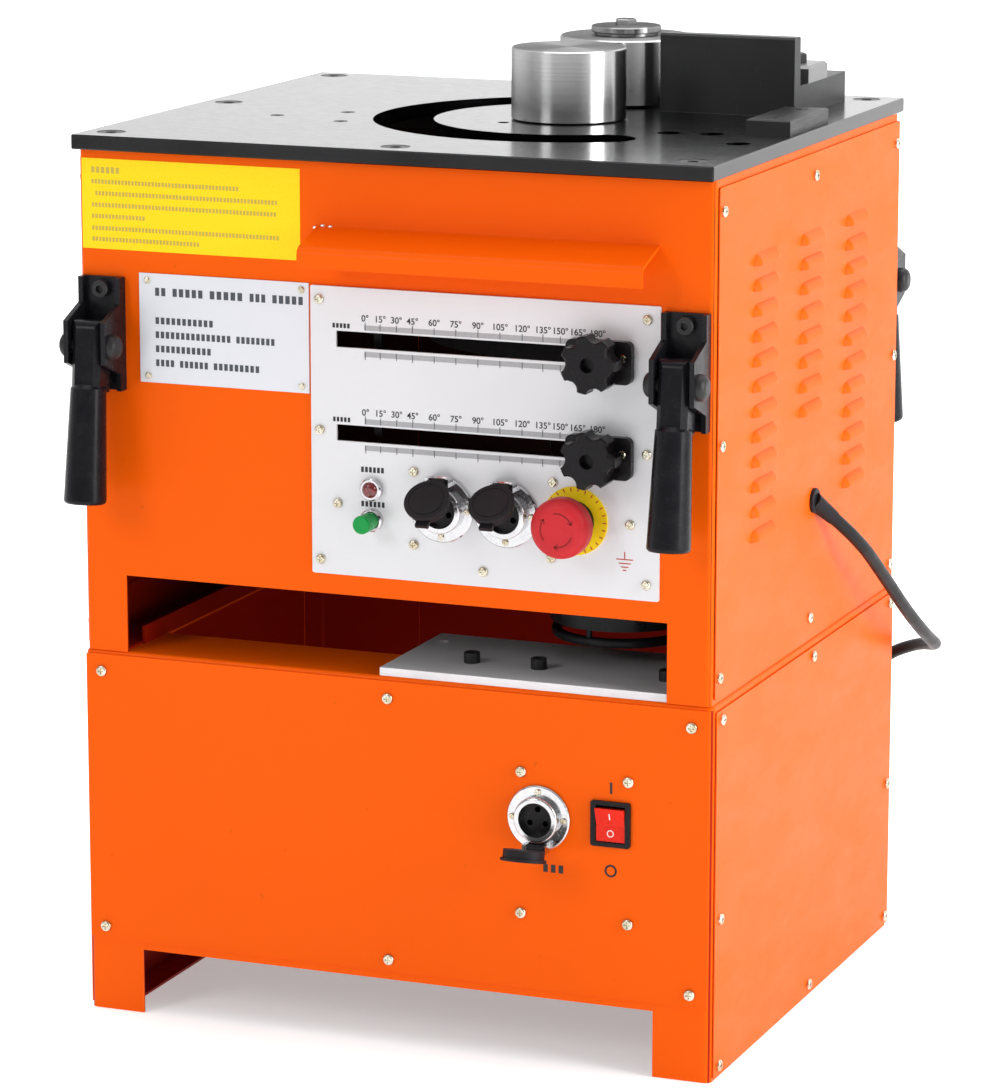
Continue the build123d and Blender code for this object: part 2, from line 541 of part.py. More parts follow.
def make_work_plate():
    plate = Pos(0, 0, PLATE_BOTTOM + PLATE_T / 2) * Box(PLATE_W, PLATE_D, PLATE_T)
    plate = chamfer(plate.edges(), 0.8)
    middle = CenterArc((SPINDLE_X, 0, 0), ORBIT_R, SLOT_START, SLOT_END - SLOT_START)
    slot = extrude(Pos(0, 0, PLATE_BOTTOM - 1) * SlotArc(middle, SLOT_W), PLATE_T + 2)
    cuts = [slot, rod_z(SPINDLE_X, 0, 18.0 + RUNNING_GAP, PLATE_BOTTOM - 1, PLATE_TOP + 1)]
    cuts += [countersunk(x, y, 11.0, 6.0, PLATE_BOTTOM - 1) for x, y in PLATE_EDGE_SPOTS]
    cuts += [rod_z(x, y, 11.0, PLATE_TOP - 0.4, PLATE_TOP + 1) for x, y in PLATE_EDGE_SPOTS]
    cuts += [countersunk(x, y, 5.5, 3.0, PLATE_BOTTOM - 1) for x, y in POST_SCREW_SPOTS]
    cuts += [rod_z(x, y, 5.5, PLATE_TOP - 0.4, PLATE_TOP + 1) for x, y in POST_SCREW_SPOTS]
    cuts += [rod_z(x, y, FREE_HOLE_R, PLATE_BOTTOM - 1, PLATE_TOP + 1) for x, y in FREE_HOLES]
    cuts += [rod_z(x, y, 4.0, PLATE_TOP - 8, PLATE_TOP + 1) for x, y in STOP_SPOTS]
    cuts += [rod_z(x, y, 6.0, PLATE_TOP - 8, PLATE_TOP + 1) for x, y in CLAMP_SPOTS]
    cuts.append(rod_z(18.6, -41.8, 4.5, PLATE_BOTTOM - 1, PLATE_TOP + 1))
    return plate - cuts


def make_plate_bolts():
    """Flush plate screws, gearbox post screws, stop screws and fence clamp bolts."""
    bolts = []
    for x, y in PLATE_EDGE_SPOTS:
        key = extrude(Pos(x, y, PLATE_TOP - 6) * RegularPolygon(4, 6, False), 10)
        bolts.append(countersunk(x, y, 11.0, 6.0, 650) - key)
    for x, y in POST_SCREW_SPOTS:
        key = extrude(Pos(x, y, PLATE_TOP - 3) * RegularPolygon(2, 6, False), 10)
        bolts.append(countersunk(x, y, 5.5, 3.0, 650) - key)
    bolts += placed(cap_screw(6.5, 3.5, 4.0, 15, 5), [(x, y, STOP_TOP - 3.5) for x, y in STOP_SPOTS], (0, 0, 1))
    for x, y in CLAMP_SPOTS:
        head = extrude(Pos(x, y, CLAMP_TOP) * RegularPolygon(9.5, 6, False), 7.5)
        bolts.append(chamfer(head.edges().group_by(Axis.Z)[-1], 0.8) + rod_z(x, y, 6.0, PLATE_TOP - 8, CLAMP_TOP))
    return bolts


FENCE_Y, FENCE_T, FENCE_TOP = 70.0, 14.0, 732.0
FOOT_TOP, CLAMP_TOP, STOP_TOP = 694.5, 707.5, 683.0


def make_fence():
    """L-shaped fence: upright bar stop with a long foot behind it."""
    upright = block(103, 211, FENCE_Y, FENCE_Y + FENCE_T, PLATE_TOP, FENCE_TOP)
    foot = block(124, 211, FENCE_Y + FENCE_T - 1, 197, PLATE_TOP, FOOT_TOP)
    body = chamfer((upright + foot).edges().filter_by(Axis.X).group_by(Axis.Z)[-1], 1.5)
    slots = [extrude(Pos(x, y, PLATE_TOP - 1) * SlotOverall(30, 12.6, rotation=90), 40) for x, y in CLAMP_SPOTS]
    return body - slots


def make_fence_clamp():
    """Steel bar that clamps the fence foot to the plate."""
    bar = block(128, 212, 101, 148, FOOT_TOP, CLAMP_TOP)
    bar = chamfer(bar.edges().group_by(Axis.Z)[-1], 2)
    return bar - [rod_z(x, y, 6.0, FOOT_TOP - 1, CLAMP_TOP + 1) for x, y in CLAMP_SPOTS]


def make_stop_block():
    bar = chamfer(block(210.5, 245, -43, 48, PLATE_TOP, STOP_TOP).edges().group_by(Axis.Z)[-1], 0.8)
    bar -= [rod_z(x, y, 4.0, PLATE_TOP - 1, STOP_TOP + 1) for x, y in STOP_SPOTS]
    return bar - [rod_z(x, y, 6.5, STOP_TOP - 3.5, STOP_TOP + 1) for x, y in STOP_SPOTS]


def make_centre_roller():
    """Forming roller on the plate, turning on its own stub in the plate."""
    drum = chamfer(rod_z(SPINDLE_X, 0, CENTRE_ROLLER_R, PLATE_TOP + 0.3, PLATE_TOP + 54.5).edges(), 1)
    return drum + rod_z(SPINDLE_X, 0, 18.0, PLATE_BOTTOM + 0.3, PLATE_TOP + 2)


BEND_TOP = PLATE_TOP + 51.8


def make_bending_roller():
    drum = rod_z(SPINDLE_X, ORBIT_R, BEND_ROLLER_R, PLATE_TOP + 1, BEND_TOP)
    drum = chamfer(drum.edges(), 1.2)
    return drum - rod_z(SPINDLE_X, ORBIT_R, PIN_R + RUNNING_GAP, PLATE_TOP, BEND_TOP + 1)


def make_roller_pin():
    pin = rod_z(SPINDLE_X, ORBIT_R, PIN_R, 628, BEND_TOP + 0.5)
    return pin + rod_z(SPINDLE_X, ORBIT_R, PIN_R + 6, 628, 634)


def make_roller_cap():
    """Keeper washer with its hexagon bolt, on top of the roller pin."""
    base = BEND_TOP + 0.5
    washer = rod_z(SPINDLE_X, ORBIT_R, 24.5, base, base + 2.5) + chamfer(
        rod_z(SPINDLE_X, ORBIT_R, 27.3, base + 2, base + 7).edges(), 0.8)
    head = extrude(Pos(SPINDLE_X, ORBIT_R, base + 7) * RegularPolygon(7.5, 6, False), 5)
    return [washer, chamfer(head.edges().group_by(Axis.Z)[-1], 0.8)]


# ---- gearing ----
def involute(angle):
    return math.tan(angle) - angle


def gear_outline(teeth, module, addendum, first_tooth_deg):
    """Closed outline of a spur gear of 20 degree pressure angle, with backlash."""
    pressure, backlash = math.radians(20), 0.22 * module
    pitch_r = teeth * module / 2
    base_r, tip_r, root_r = pitch_r * math.cos(pressure), pitch_r + addendum * module, pitch_r - 1.28 * module
    half_pitch = (math.pi * module / 2 - backlash) / (2 * pitch_r)
    flank = [max(base_r, root_r) + (tip_r - max(base_r, root_r)) * i / 3 for i in range(4)]
    if base_r > root_r:
        flank.insert(0, root_r)

    def half_angle(radius):
        roll = math.acos(min(1.0, base_r / radius))
        return half_pitch + involute(pressure) - involute(roll)

    points = []
    for i in range(teeth):
        middle = math.radians(first_tooth_deg) + 2 * math.pi * i / teeth
        points += [(r, middle - half_angle(r)) for r in flank]
        points += [(r, middle + half_angle(r)) for r in reversed(flank)]
    return [(r * math.cos(a), r * math.sin(a)) for r, a in points]


def spur_gear(x, y, teeth, module, addendum, first_tooth_deg, z0, z1):
    outline = Polyline(*gear_outline(teeth, module, addendum, first_tooth_deg), close=True)
    return extrude(Pos(x, y, z0) * make_face(outline), z1 - z0)


def layshaft_place():
    """Where the layshaft meets both the main gear and the motor pinion, and both directions."""
    reach_main = GEAR_MODULE * (GEAR_TEETH + PINION_TEETH) / 2 + 0.1
    reach_motor = MOTOR_MODULE * (LAY_TEETH + MOTOR_TEETH) / 2 + 0.1
    dx, dy = MOTOR_X - SPINDLE_X, MOTOR_Y
    span = math.hypot(dx, dy)
    along = (reach_main ** 2 - reach_motor ** 2 + span ** 2) / (2 * span)
    across = math.sqrt(reach_main ** 2 - along ** 2)
    x = SPINDLE_X + (along * dx - across * dy) / span
    y = (along * dy + across * dx) / span
    to_lay = math.degrees(math.atan2(y, x - SPINDLE_X))
    to_motor = math.degrees(math.atan2(MOTOR_Y - y, MOTOR_X - x))
    return x, y, to_lay, to_motor


LAY_X, LAY_Y, TO_LAY, TO_MOTOR = layshaft_place()
SPINDLE_R, LAY_R, ROTOR_R = 25.0, 11.0, 7.5


def make_spindle_arm():
    """Output shaft with the bending arm that carries the roller pin through the slot."""
    hub, eye = Pos(SPINDLE_X, 0, 0) * Circle(58), Pos(SPINDLE_X, ORBIT_R, 0) * Circle(29)
    arm = extrude(Pos(0, 0, 634) * make_hull((hub + eye).edges()), 22)
    arm = chamfer(arm.edges().group_by(Axis.Z)[-1], 2)
    arm += rod_z(SPINDLE_X, 0, SPINDLE_R, 509, 640)
    return arm - rod_z(SPINDLE_X, ORBIT_R, PIN_R, 620, 665)


def make_main_gear():
    gear = spur_gear(SPINDLE_X, 0, GEAR_TEETH, GEAR_MODULE, 0.75, TO_LAY, 566, 590)
    for i in range(6):
        angle = math.radians(60 * i)
        gear -= rod_z(SPINDLE_X + 56 * math.cos(angle), 56 * math.sin(angle), 13, 560, 600)
    return gear - rod_z(SPINDLE_X, 0, SPINDLE_R, 560, 600)


def make_layshaft():
    """Layshaft: pinion cut on the shaft, with the large first-stage gear below it."""
    gap_facing = TO_LAY + 180 + 180 / PINION_TEETH
    pinion = spur_gear(LAY_X, LAY_Y, PINION_TEETH, GEAR_MODULE, 1.0, gap_facing, 564, 592)
    gear = spur_gear(LAY_X, LAY_Y, LAY_TEETH, MOTOR_MODULE, 0.75, TO_MOTOR, 534, 550)
    return pinion + gear + rod_z(LAY_X, LAY_Y, LAY_R, 509, 610)


def make_motor_rotor():
    """Rotor: shaft with its pinion, armature, commutator and fan."""
    gap_facing = TO_MOTOR + 180 + 180 / MOTOR_TEETH
    rotor = spur_gear(MOTOR_X, MOTOR_Y, MOTOR_TEETH, MOTOR_MODULE, 1.0, gap_facing, 532, 552)
    rotor += rod_z(MOTOR_X, MOTOR_Y, ROTOR_R, 322, 556)
    rotor += rod_z(MOTOR_X, MOTOR_Y, 29, 385, 470) + rod_z(MOTOR_X, MOTOR_Y, 17, 358, 376)
    return rotor + rod_z(MOTOR_X, MOTOR_Y, 42, 334, 342)


def case_outline(grow):
    circles = Pos(SPINDLE_X, 0, 0) * Circle(98 + grow) + Pos(LAY_X, LAY_Y, 0) * Circle(68 + grow)
    circles += Pos(MOTOR_X, MOTOR_Y, 0) * Circle(52 + grow)
    return make_hull(circles.edges())


def make_gearbox_case():
    """Cast gear case with a wide mounting flange and the posts that hang it from the plate."""
    case = extrude(Pos(0, 0, CASE_BOTTOM + 8) * case_outline(8), CASE_TOP - CASE_BOTTOM - 8)
    posts = POST_SCREW_SPOTS + POST_BLIND_SPOTS
    feet = Sketch() + [Pos(x, y, 0) * Circle(16) for x, y in posts]
    case += extrude(Pos(0, 0, CASE_TOP - 12) * make_hull(feet.edges()), 12)
    case -= extrude(Pos(0, 0, CASE_BOTTOM + 7) * case_outline(0), CASE_TOP - CASE_BOTTOM - 15)
    for x, y in posts:
        case += rod_z(x, y, 11.5, CASE_TOP - 1, PLATE_BOTTOM)
    case -= [rod_z(x, y, 3.0, 640, PLATE_BOTTOM + 1) for x, y in POST_SCREW_SPOTS]
    case -= rod_z(SPINDLE_X, 0, SPINDLE_R + RUNNING_GAP, 560, 630)
    return case - rod_z(LAY_X, LAY_Y, LAY_R + RUNNING_GAP, 600, 611)


def make_gearbox_cover():
    """Bottom cover of the gear case, with the lower bearing bores."""
    cover = extrude(Pos(0, 0, CASE_BOTTOM) * case_outline(8), 8)
    cover -= rod_z(SPINDLE_X, 0, SPINDLE_R + RUNNING_GAP, 508, 520)
    cover -= rod_z(LAY_X, LAY_Y, LAY_R + RUNNING_GAP, 508, 520)
    return cover - rod_z(MOTOR_X, MOTOR_Y, ROTOR_R + RUNNING_GAP, 500, 520)


def make_motor_housing():
    """Round motor shell: flange under the gear case, spoked lower end and a ring guard below it."""
    x, y = MOTOR_X, MOTOR_Y
    shell = rod_z(x, y, 55, 316, CASE_BOTTOM) + rod_z(x, y, 59, CASE_BOTTOM - 8, CASE_BOTTOM)
    shell -= rod_z(x, y, 48, 322, CASE_BOTTOM + 1)
    shell -= rod_z(x, y, 40, 310, 325)
    for i in range(3):
        spoke = Pos(x, y, 319) * Box(84, 8, 6)
        shell += spoke.rotate(Axis((x, y, 0), (0, 0, 1)), 60 * i)
    shell += rod_z(x, y, 13, 316, 330)
    vents = [Pos(x, y, 350) * Box(130, 7, 34).rotate(Axis.Z, 22.5 * i) for i in range(8)]
    shell -= [vent - rod_z(x, y, 44, 300, 400) for vent in vents]
    guard = fillet((rod_z(x, y, 53.5, 303, 310) - rod_z(x, y, 46.5, 302, 311)).edges(), 2.5)
    for i in range(3):
        angle = math.radians(120 * i + 20)
        guard += rod_z(x + 50 * math.cos(angle), y + 50 * math.sin(angle), 2.2, 308, 317)
    return shell + guard - rod_z(x, y, ROTOR_R + RUNNING_GAP, 320, 340)


def make_base_plate():
    """Tray plate across the foot of the cabinet, bolted to the stand's front flange."""
    plate = block(-10, 214, FRONT + SHEET + 0.5, -97, STAND_H, BASE_TOP)
    plate -= rod_z(2.5, -122, 3.5, STAND_H - 1, BASE_TOP + 1)
    return plate - [rod_z(x, y, 4.0, STAND_H - 1, BASE_TOP + 1) for x, y in BASE_SPOTS]


# ---- angle trip ----
TRIP_START_X, ROD_Y, ROD_Z = -18.0, -190.0, 497.0


def make_guide_rod():
    """Round rod behind the scales, held by two lugs on the back of the control panel."""
    rail = rod((-44, ROD_Y, ROD_Z), (1, 0, 0), 4.0, 232)
    for x in (-46, 186):
        rail += block(x, x + 5, FRONT, ROD_Y + 7, ROD_Z - 8, ROD_Z + 8)
    return rail


def make_trip_carriage():
    """Block that slides on the rod and reaches behind both scale slots."""
    x = TRIP_START_X
    body = block(x - 9, x + 9, ROD_Y - 8, ROD_Y + 8, ROD_Z - 11, ROD_Z + 11)
    body += block(x - 3, x + 3, ROD_Y - 8, ROD_Y - 4, SLOT_Z["lower"] - 5, SLOT_Z["upper"] + 5)
    return body - rod((x - 10, ROD_Y, ROD_Z), (1, 0, 0), 4.0 + RUNNING_GAP, 20)


# ---- cord ----
def make_boot():
    """Rubber grommet and tapered strain relief of the mains cord."""
    taper = Plane(origin=BOOT_AT, z_dir=BOOT_DIR) * Cone(
        7.0, 5.6, BOOT_LENGTH, align=(Align.CENTER, Align.CENTER, Align.MIN))
    taper -= block(CAB_SKIN_X - 12, CAB_SKIN_X, -40, 60, 330, 440)
    collar = rod(BOOT_AT, (1, 0, 0), 9.5, 3)
    collar = fillet(collar.edges().group_by(Axis.X)[-1], 1.2)
    return collar + taper + rod(BOOT_AT - Vector(6, 0, 0), (1, 0, 0), 7.0, 7)


def coil_point(angle_deg, radius, z):
    angle = math.radians(angle_deg)
    return (COIL_CENTRE[0] + radius * math.cos(angle), COIL_CENTRE[1] + radius * math.sin(angle), z)


def cord_route():
    """Free stretch of the cord, from the strain relief to the coil on the floor."""
    exit_point = BOOT_AT + BOOT_DIR * BOOT_LENGTH
    straight = exit_point + BOOT_DIR * 33.0
    return [
        (exit_point.X, exit_point.Y, exit_point.Z),
        (straight.X, straight.Y, straight.Z),
        (277.5, 100.0, 318.5),
        (280.5, 165.0, 272.0),
        (281.5, 224.0, 238.5),
        (275.0, 268.0, 224.0),
        (250.0, 296.0, 217.5),
        (216.0, 308.0, 201.0),
        (189.0, 311.0, 168.0),
        (173.5, 312.0, 126.0),
        (163.0, 313.0, 84.0),
        (153.0, 314.5, 48.0),
        (133.5, 322.0, 22.0),
        (102.0, 339.5, 5.0),
        coil_point(COIL_ENTRY_ANGLE, 60.5, 5.0),
    ]


def corner_radii(route):
    """Arc radius at each corner: 0.45 of the shorter run over the tangent of half the turn."""
    radii = []
    for before, corner, after in zip(route, route[1:], route[2:]):
        arriving, leaving = Vector(*corner) - Vector(*before), Vector(*after) - Vector(*corner)
        turn = math.radians(arriving.get_angle(leaving))
        radii.append(0.45 * min(arriving.length, leaving.length) / math.tan(turn / 2))
    return radii


def make_power_cord():
    route = cord_route()
    radii = corner_radii(route)
    print("cord corner radii:", [round(r, 1) for r in radii])
    path = FilletPolyline(*route, radius=radii)
    tube = sweep(Plane(origin=path @ 0, z_dir=path % 0) * Circle(CORD_R), path=path)
    ideal = math.pi * CORD_R ** 2 * path.length
    print("cord tube length", round(path.length, 1), "volume ratio", round(tube.volume / ideal, 4))
    return tube


def make_cord_coil():
    """Outer shape of the cord's coil lying on the floor, with the short lead to the plug."""
    inner, outer = COIL_R - COIL_BAND / 2, COIL_R + COIL_BAND / 2
    ring = rod_z(*COIL_CENTRE, outer, 0, COIL_H) - rod_z(*COIL_CENTRE, inner, -1, COIL_H + 1)
    ring = fillet(ring.edges(), 5)
    lead = rod((COIL_CENTRE[0], COIL_CENTRE[1] + COIL_R + 5.5, PLUG_Z), (-1, 0, 0), CORD_R, PLUG_LEAD)
    return ring + lead


PLUG_LEAD, PLUG_Z = 62.0, 15.6


def make_power_plug():
    """Moulded mains plug with two flat blades and an earth pin, lying beside the coil."""
    x, y = COIL_CENTRE[0] - PLUG_LEAD, COIL_CENTRE[1] + COIL_R + 5.5
    relief = Plane(origin=(x, y, PLUG_Z), z_dir=(-1, 0, 0)) * Cone(
        6, 8.5, 22, align=(Align.CENTER, Align.CENTER, Align.MIN))
    body = fillet(block(x - 52, x - 21, y - 14, y + 14, 0.2, 30.8).edges().filter_by(Axis.X), 9)
    body = chamfer(body.edges().group_by(Axis.X)[0], 1.5)
    plug = relief + body
    for dy in (-6.35, 6.35):
        plug += block(x - 68, x - 51, y + dy - 0.8, y + dy + 0.8, PLUG_Z - 0.8, PLUG_Z + 5.6)
    return plug + rod((x - 51, y, PLUG_Z - 7), (-1, 0, 0), 2.4, 19)


# ---- fastener groups ----
def make_cabinet_screws():
    """All cross-head screws of the orange panels."""
    proto = screw(**SKIN_SCREW)
    group = placed(proto, front_spots(STAND_FRONT_SPOTS + STAND_PLATE_SPOTS, STAND_FACE), (0, -1, 0))
    group += placed(proto, rear_spots(STAND_REAR_Z) + rear_spots(CAB_REAR_Z), (0, 1, 0))
    for sign in (-1, 1):
        group += placed(proto, side_spots(CAB_SIDE_SPOTS, CAB_SKIN_X, sign), (sign, 0, 0))
        group += placed(proto, side_spots(STAND_SIDE_SPOTS, STAND_SKIN_X, sign), (sign, 0, 0))
    return group


def make_panel_fasteners():
    """Screws of the control panel and the sockets, and the rivets of the name plate."""
    group = placed(screw(3.6, 2.4, 1.6, 6.0), front_spots(PANEL_SPOTS, PANEL_FACE), (0, -1, 0))
    small = screw(2.4, 1.6, 1.2, 8.0)
    for centres, face, hinge_sign in ((PANEL_SOCKETS, PANEL_FACE, 1), ([STAND_SOCKET], STAND_FACE, -1)):
        group += placed(small, socket_screws(centres, face - 3, hinge_sign), (0, -1, 0))
    rivet = Cylinder(2.6, 1.3, align=(Align.CENTER, Align.CENTER, Align.MIN))
    rivet = fillet(rivet.edges().group_by(Axis.Z)[-1], 1.0) + Pos(0, 0, -2) * Cylinder(1.4, 4)
    return group + placed(rivet, front_spots(RIVET_SPOTS, FRONT - 1), (0, -1, 0))


def make_handle_fasteners():
    """Bracket cap screws and pivot rivets of the four handles, and the base plate screws."""
    group = [make_handle_pin(x, rear) for x in (-HANDLE_X, HANDLE_X) for rear in (False, True)]
    proto = cap_screw(6.5, 5.5, 4.0, 12, 6)
    group += placed(proto, [(x, FRONT - BRACKET_T, z) for x, z in bracket_bolt_spots()], (0, -1, 0))
    group += placed(proto, [(x, -FRONT + BRACKET_T, z) for x, z in bracket_bolt_spots(REAR_LIFT)], (0, 1, 0))
    spots = [(x, y, BASE_TOP) for x, y in BASE_SPOTS]
    return group + placed(cap_screw(6.0, 8.0, 4.0, 8, 6), spots, (0, 0, 1))


NODES = {
    "stand_frame": make_stand_frame,
    "stand_front_panel": make_stand_front_panel,
    "stand_rear_panel": lambda: make_rear_panel(STAND_REAR_Z),
    "stand_side_panels": lambda: [make_stand_side_panel(-1), make_stand_side_panel(1)],
    "cabinet_frame": make_cabinet_frame,
    "cabinet_rear_panel": lambda: make_rear_panel(CAB_REAR_Z),
    "cabinet_side_panels": lambda: [make_cabinet_side(-1), make_cabinet_side(1)],
    "cabinet_screws": make_cabinet_screws,
    "top_frame": make_top_frame,
    "visor": make_visor,
    "work_plate": make_work_plate,
    "plate_bolts": make_plate_bolts,
    "control_panel": make_control_panel,
    "panel_fasteners": make_panel_fasteners,
    "name_plate": make_name_plate,
    "indicator_bezels": lambda: [make_bezel(LAMP_AT), make_bezel(BUTTON_AT)],
    "lamp_lens": make_lamp_lens,
    "start_button": make_start_button,
    "estop_disc": make_estop_disc,
    "estop_housing": make_estop_housing,
    "estop_plunger": make_estop_plunger,
    "estop_head": make_estop_head,
    "rocker_frame": make_rocker_frame,
    "rocker_button": make_rocker_button,
    "socket_flanges": lambda: [make_socket_flange(c, PANEL_FACE, 1) for c in PANEL_SOCKETS]
    + [make_socket_flange(STAND_SOCKET, STAND_FACE, -1)],
    "socket_inserts": lambda: [make_socket_insert(c, PANEL_FACE) for c in PANEL_SOCKETS]
    + [make_socket_insert(STAND_SOCKET, STAND_FACE)],
    "socket_cap_left": lambda: make_socket_cap(PANEL_SOCKETS[0], PANEL_FACE, 1, 46),
    "socket_cap_right": lambda: make_socket_cap(PANEL_SOCKETS[1], PANEL_FACE, 1, 50),
    "socket_cap_stand": lambda: make_socket_cap(STAND_SOCKET, STAND_FACE, -1, 76, False),
    "slider_upper": lambda: make_slider("upper"),
    "slider_lower": lambda: make_slider("lower"),
    "knob_upper": lambda: make_knob("upper"),
    "knob_lower": lambda: make_knob("lower"),
    "handle_brackets": lambda: [make_bracket(x, rear) for x in (-HANDLE_X, HANDLE_X) for rear in (False, True)],
    "handle_fasteners": make_handle_fasteners,
    "grip_front_left": lambda: make_grip(-HANDLE_X, False),
    "grip_front_right": lambda: make_grip(HANDLE_X, False),
    "grip_rear_right": lambda: make_grip(-HANDLE_X, True),
    "grip_rear_left": lambda: make_grip(HANDLE_X, True),
    "fence": make_fence,
    "fence_clamp": make_fence_clamp,
    "stop_block": make_stop_block,
    "centre_roller": make_centre_roller,
    "bending_roller": make_bending_roller,
    "roller_pin": make_roller_pin,
    "roller_cap": make_roller_cap,
    "spindle_arm": make_spindle_arm,
    "main_gear": make_main_gear,
    "layshaft": make_layshaft,
    "motor_rotor": make_motor_rotor,
    "gearbox_case": make_gearbox_case,
    "gearbox_cover": make_gearbox_cover,
    "motor_housing": make_motor_housing,
    "base_plate": make_base_plate,
    "guide_rod": make_guide_rod,
    "trip_carriage": make_trip_carriage,
    "cable_boot": make_boot,
    "power_cord": make_power_cord,
    "cord_coil": make_cord_coil,
    "power_plug": make_power_plug,
}


def main():
    os.makedirs("parts", exist_ok=True)
    for name, maker in NODES.items():
        made = maker()
        shape = Compound(children=list(made)) if isinstance(made, list) else made
        export_step(shape, f"parts/{name}.step")
    print(len(NODES), "nodes")


main()
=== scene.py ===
import math

import bmesh
import bpy
from mathutils import Matrix, Vector


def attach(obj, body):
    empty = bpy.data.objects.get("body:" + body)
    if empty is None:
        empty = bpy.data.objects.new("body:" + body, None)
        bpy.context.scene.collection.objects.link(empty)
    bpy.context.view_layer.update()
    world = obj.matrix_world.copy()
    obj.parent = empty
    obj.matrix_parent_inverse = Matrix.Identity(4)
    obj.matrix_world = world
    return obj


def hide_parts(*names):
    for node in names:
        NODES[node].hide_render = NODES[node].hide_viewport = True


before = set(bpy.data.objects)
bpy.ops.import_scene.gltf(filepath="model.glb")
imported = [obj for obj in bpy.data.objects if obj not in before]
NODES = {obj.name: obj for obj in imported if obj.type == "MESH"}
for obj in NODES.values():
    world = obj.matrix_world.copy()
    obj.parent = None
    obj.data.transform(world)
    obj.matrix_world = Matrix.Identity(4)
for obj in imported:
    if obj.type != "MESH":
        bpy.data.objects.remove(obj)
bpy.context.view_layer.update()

# ---- sizes shared with the CAD, in millimetres ----
PLATE_TOP = 672.0
FRONT = -218.5
PANEL_FACE = FRONT - 2.0
STAND_FACE = FRONT - 1.5
SPINDLE_X, ORBIT_R = 55.0, 125.0
SLOT_Z = (531.6, 462.5)
BOOT_AT = Vector((250.0, 9.5, 390.5))
BOOT_DIR = Vector((0.40, 0.68, -0.61)).normalized()
COIL_CENTRE = Vector((40.0, 304.0, 0.0))
CORD_RADIUS = 0.005
COIL_HEIGHT = 15.6
STOP_X, STOP_Z = 145.0, 411.0
ROCKER_X = 173.6
PRINT = 0.12


def metres(*values):
    """Millimetres as a vector in metres."""
    return Vector(values) / 1000.0


# ---- camera ----
def add_camera():
    """Long lens, a little above the work plate and to the right of the front."""
    azimuth, elevation, roll = math.radians(21.699), math.radians(12.038), math.radians(0.027)
    right = Vector((math.cos(azimuth), math.sin(azimuth), 0.0))
    back = Vector((math.sin(azimuth) * math.cos(elevation), -math.cos(azimuth) * math.cos(elevation),
                   math.sin(elevation)))
    up = back.cross(right)
    place = metres(0, 0, PLATE_TOP) - right * 0.000713 - up * 0.32665 + back * 3.518
    data = bpy.data.cameras.new("camera")
    data.lens = 152.85
    data.sensor_width = 36.0
    data.clip_end = 60.0
    camera = bpy.data.objects.new("camera", data)
    turn = Matrix((right, up, back)).transposed() @ Matrix.Rotation(roll, 3, "Z")
    camera.matrix_world = Matrix.Translation(place) @ turn.to_4x4()
    bpy.context.scene.collection.objects.link(camera)
    bpy.context.scene.camera = camera


# ---- cord ----
def cord_points():
    """The cord's route in millimetres: free stretch, turns on the floor, lead to the plug."""
    start = BOOT_AT + BOOT_DIR * 26.0
    points = [tuple(start), tuple(start + BOOT_DIR * 33.0)]
    points += [
        (277.5, 100.0, 318.5), (280.5, 165.0, 272.0), (281.5, 224.0, 238.5), (275.0, 268.0, 224.0),
        (250.0, 296.0, 217.5), (216.0, 308.0, 201.0), (189.0, 311.0, 168.0), (173.5, 312.0, 126.0),
        (163.0, 313.0, 84.0), (153.0, 314.5, 48.0), (133.5, 322.0, 22.0), (102.0, 339.5, 5.0),
    ]

    def ramp(value, start, end):
        part = min(1.0, max(0.0, (value - start) / (end - start)))
        return part * part * (3 - 2 * part)

    per_turn = 14
    for i in range(int(3.0 * per_turn) + 1):
        turn = i / per_turn
        radius = 60.5 - 11.0 * ramp(turn, 0.7, 1.0) + 11.0 * ramp(turn, 2.15, 2.45)
        height = 5.0 + 10.6 * ramp(turn, 1.45, 1.72)
        angle = math.radians(60.0) + 2 * math.pi * turn
        reach = radius / 0.983
        points.append((COIL_CENTRE.x + reach * math.cos(angle), COIL_CENTRE.y + reach * math.sin(angle),
                       height))
    points += [(52.0, 364.0, COIL_HEIGHT)] + [(x, 364.5, COIL_HEIGHT) for x in (26.0, 0.0, -23.0)]
    return points


def add_cord():
    curve = bpy.data.curves.new("cord_line", "CURVE")
    curve.dimensions = "3D"
    spline = curve.splines.new("NURBS")
    points = cord_points()
    spline.points.add(len(points) - 1)
    for knot, point in zip(spline.points, points):
        knot.co = (*(metres(*point)), 1.0)
        knot.radius = CORD_RADIUS
    spline.order_u = 3
    spline.use_endpoint_u = True
    spline.resolution_u = 8
    # Blender grows a curve's box by its points' radius, so that holds the tube's radius and the bevel is 1.
    curve.bevel_depth = 1.0
    curve.bevel_resolution = 6
    curve.use_fill_caps = True
    cord = bpy.data.objects.new("cord", curve)
    bpy.context.scene.collection.objects.link(cord)
    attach(cord, "machine")
    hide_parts("power_cord", "cord_coil")
    return cord


add_camera()
CORD = add_cord()


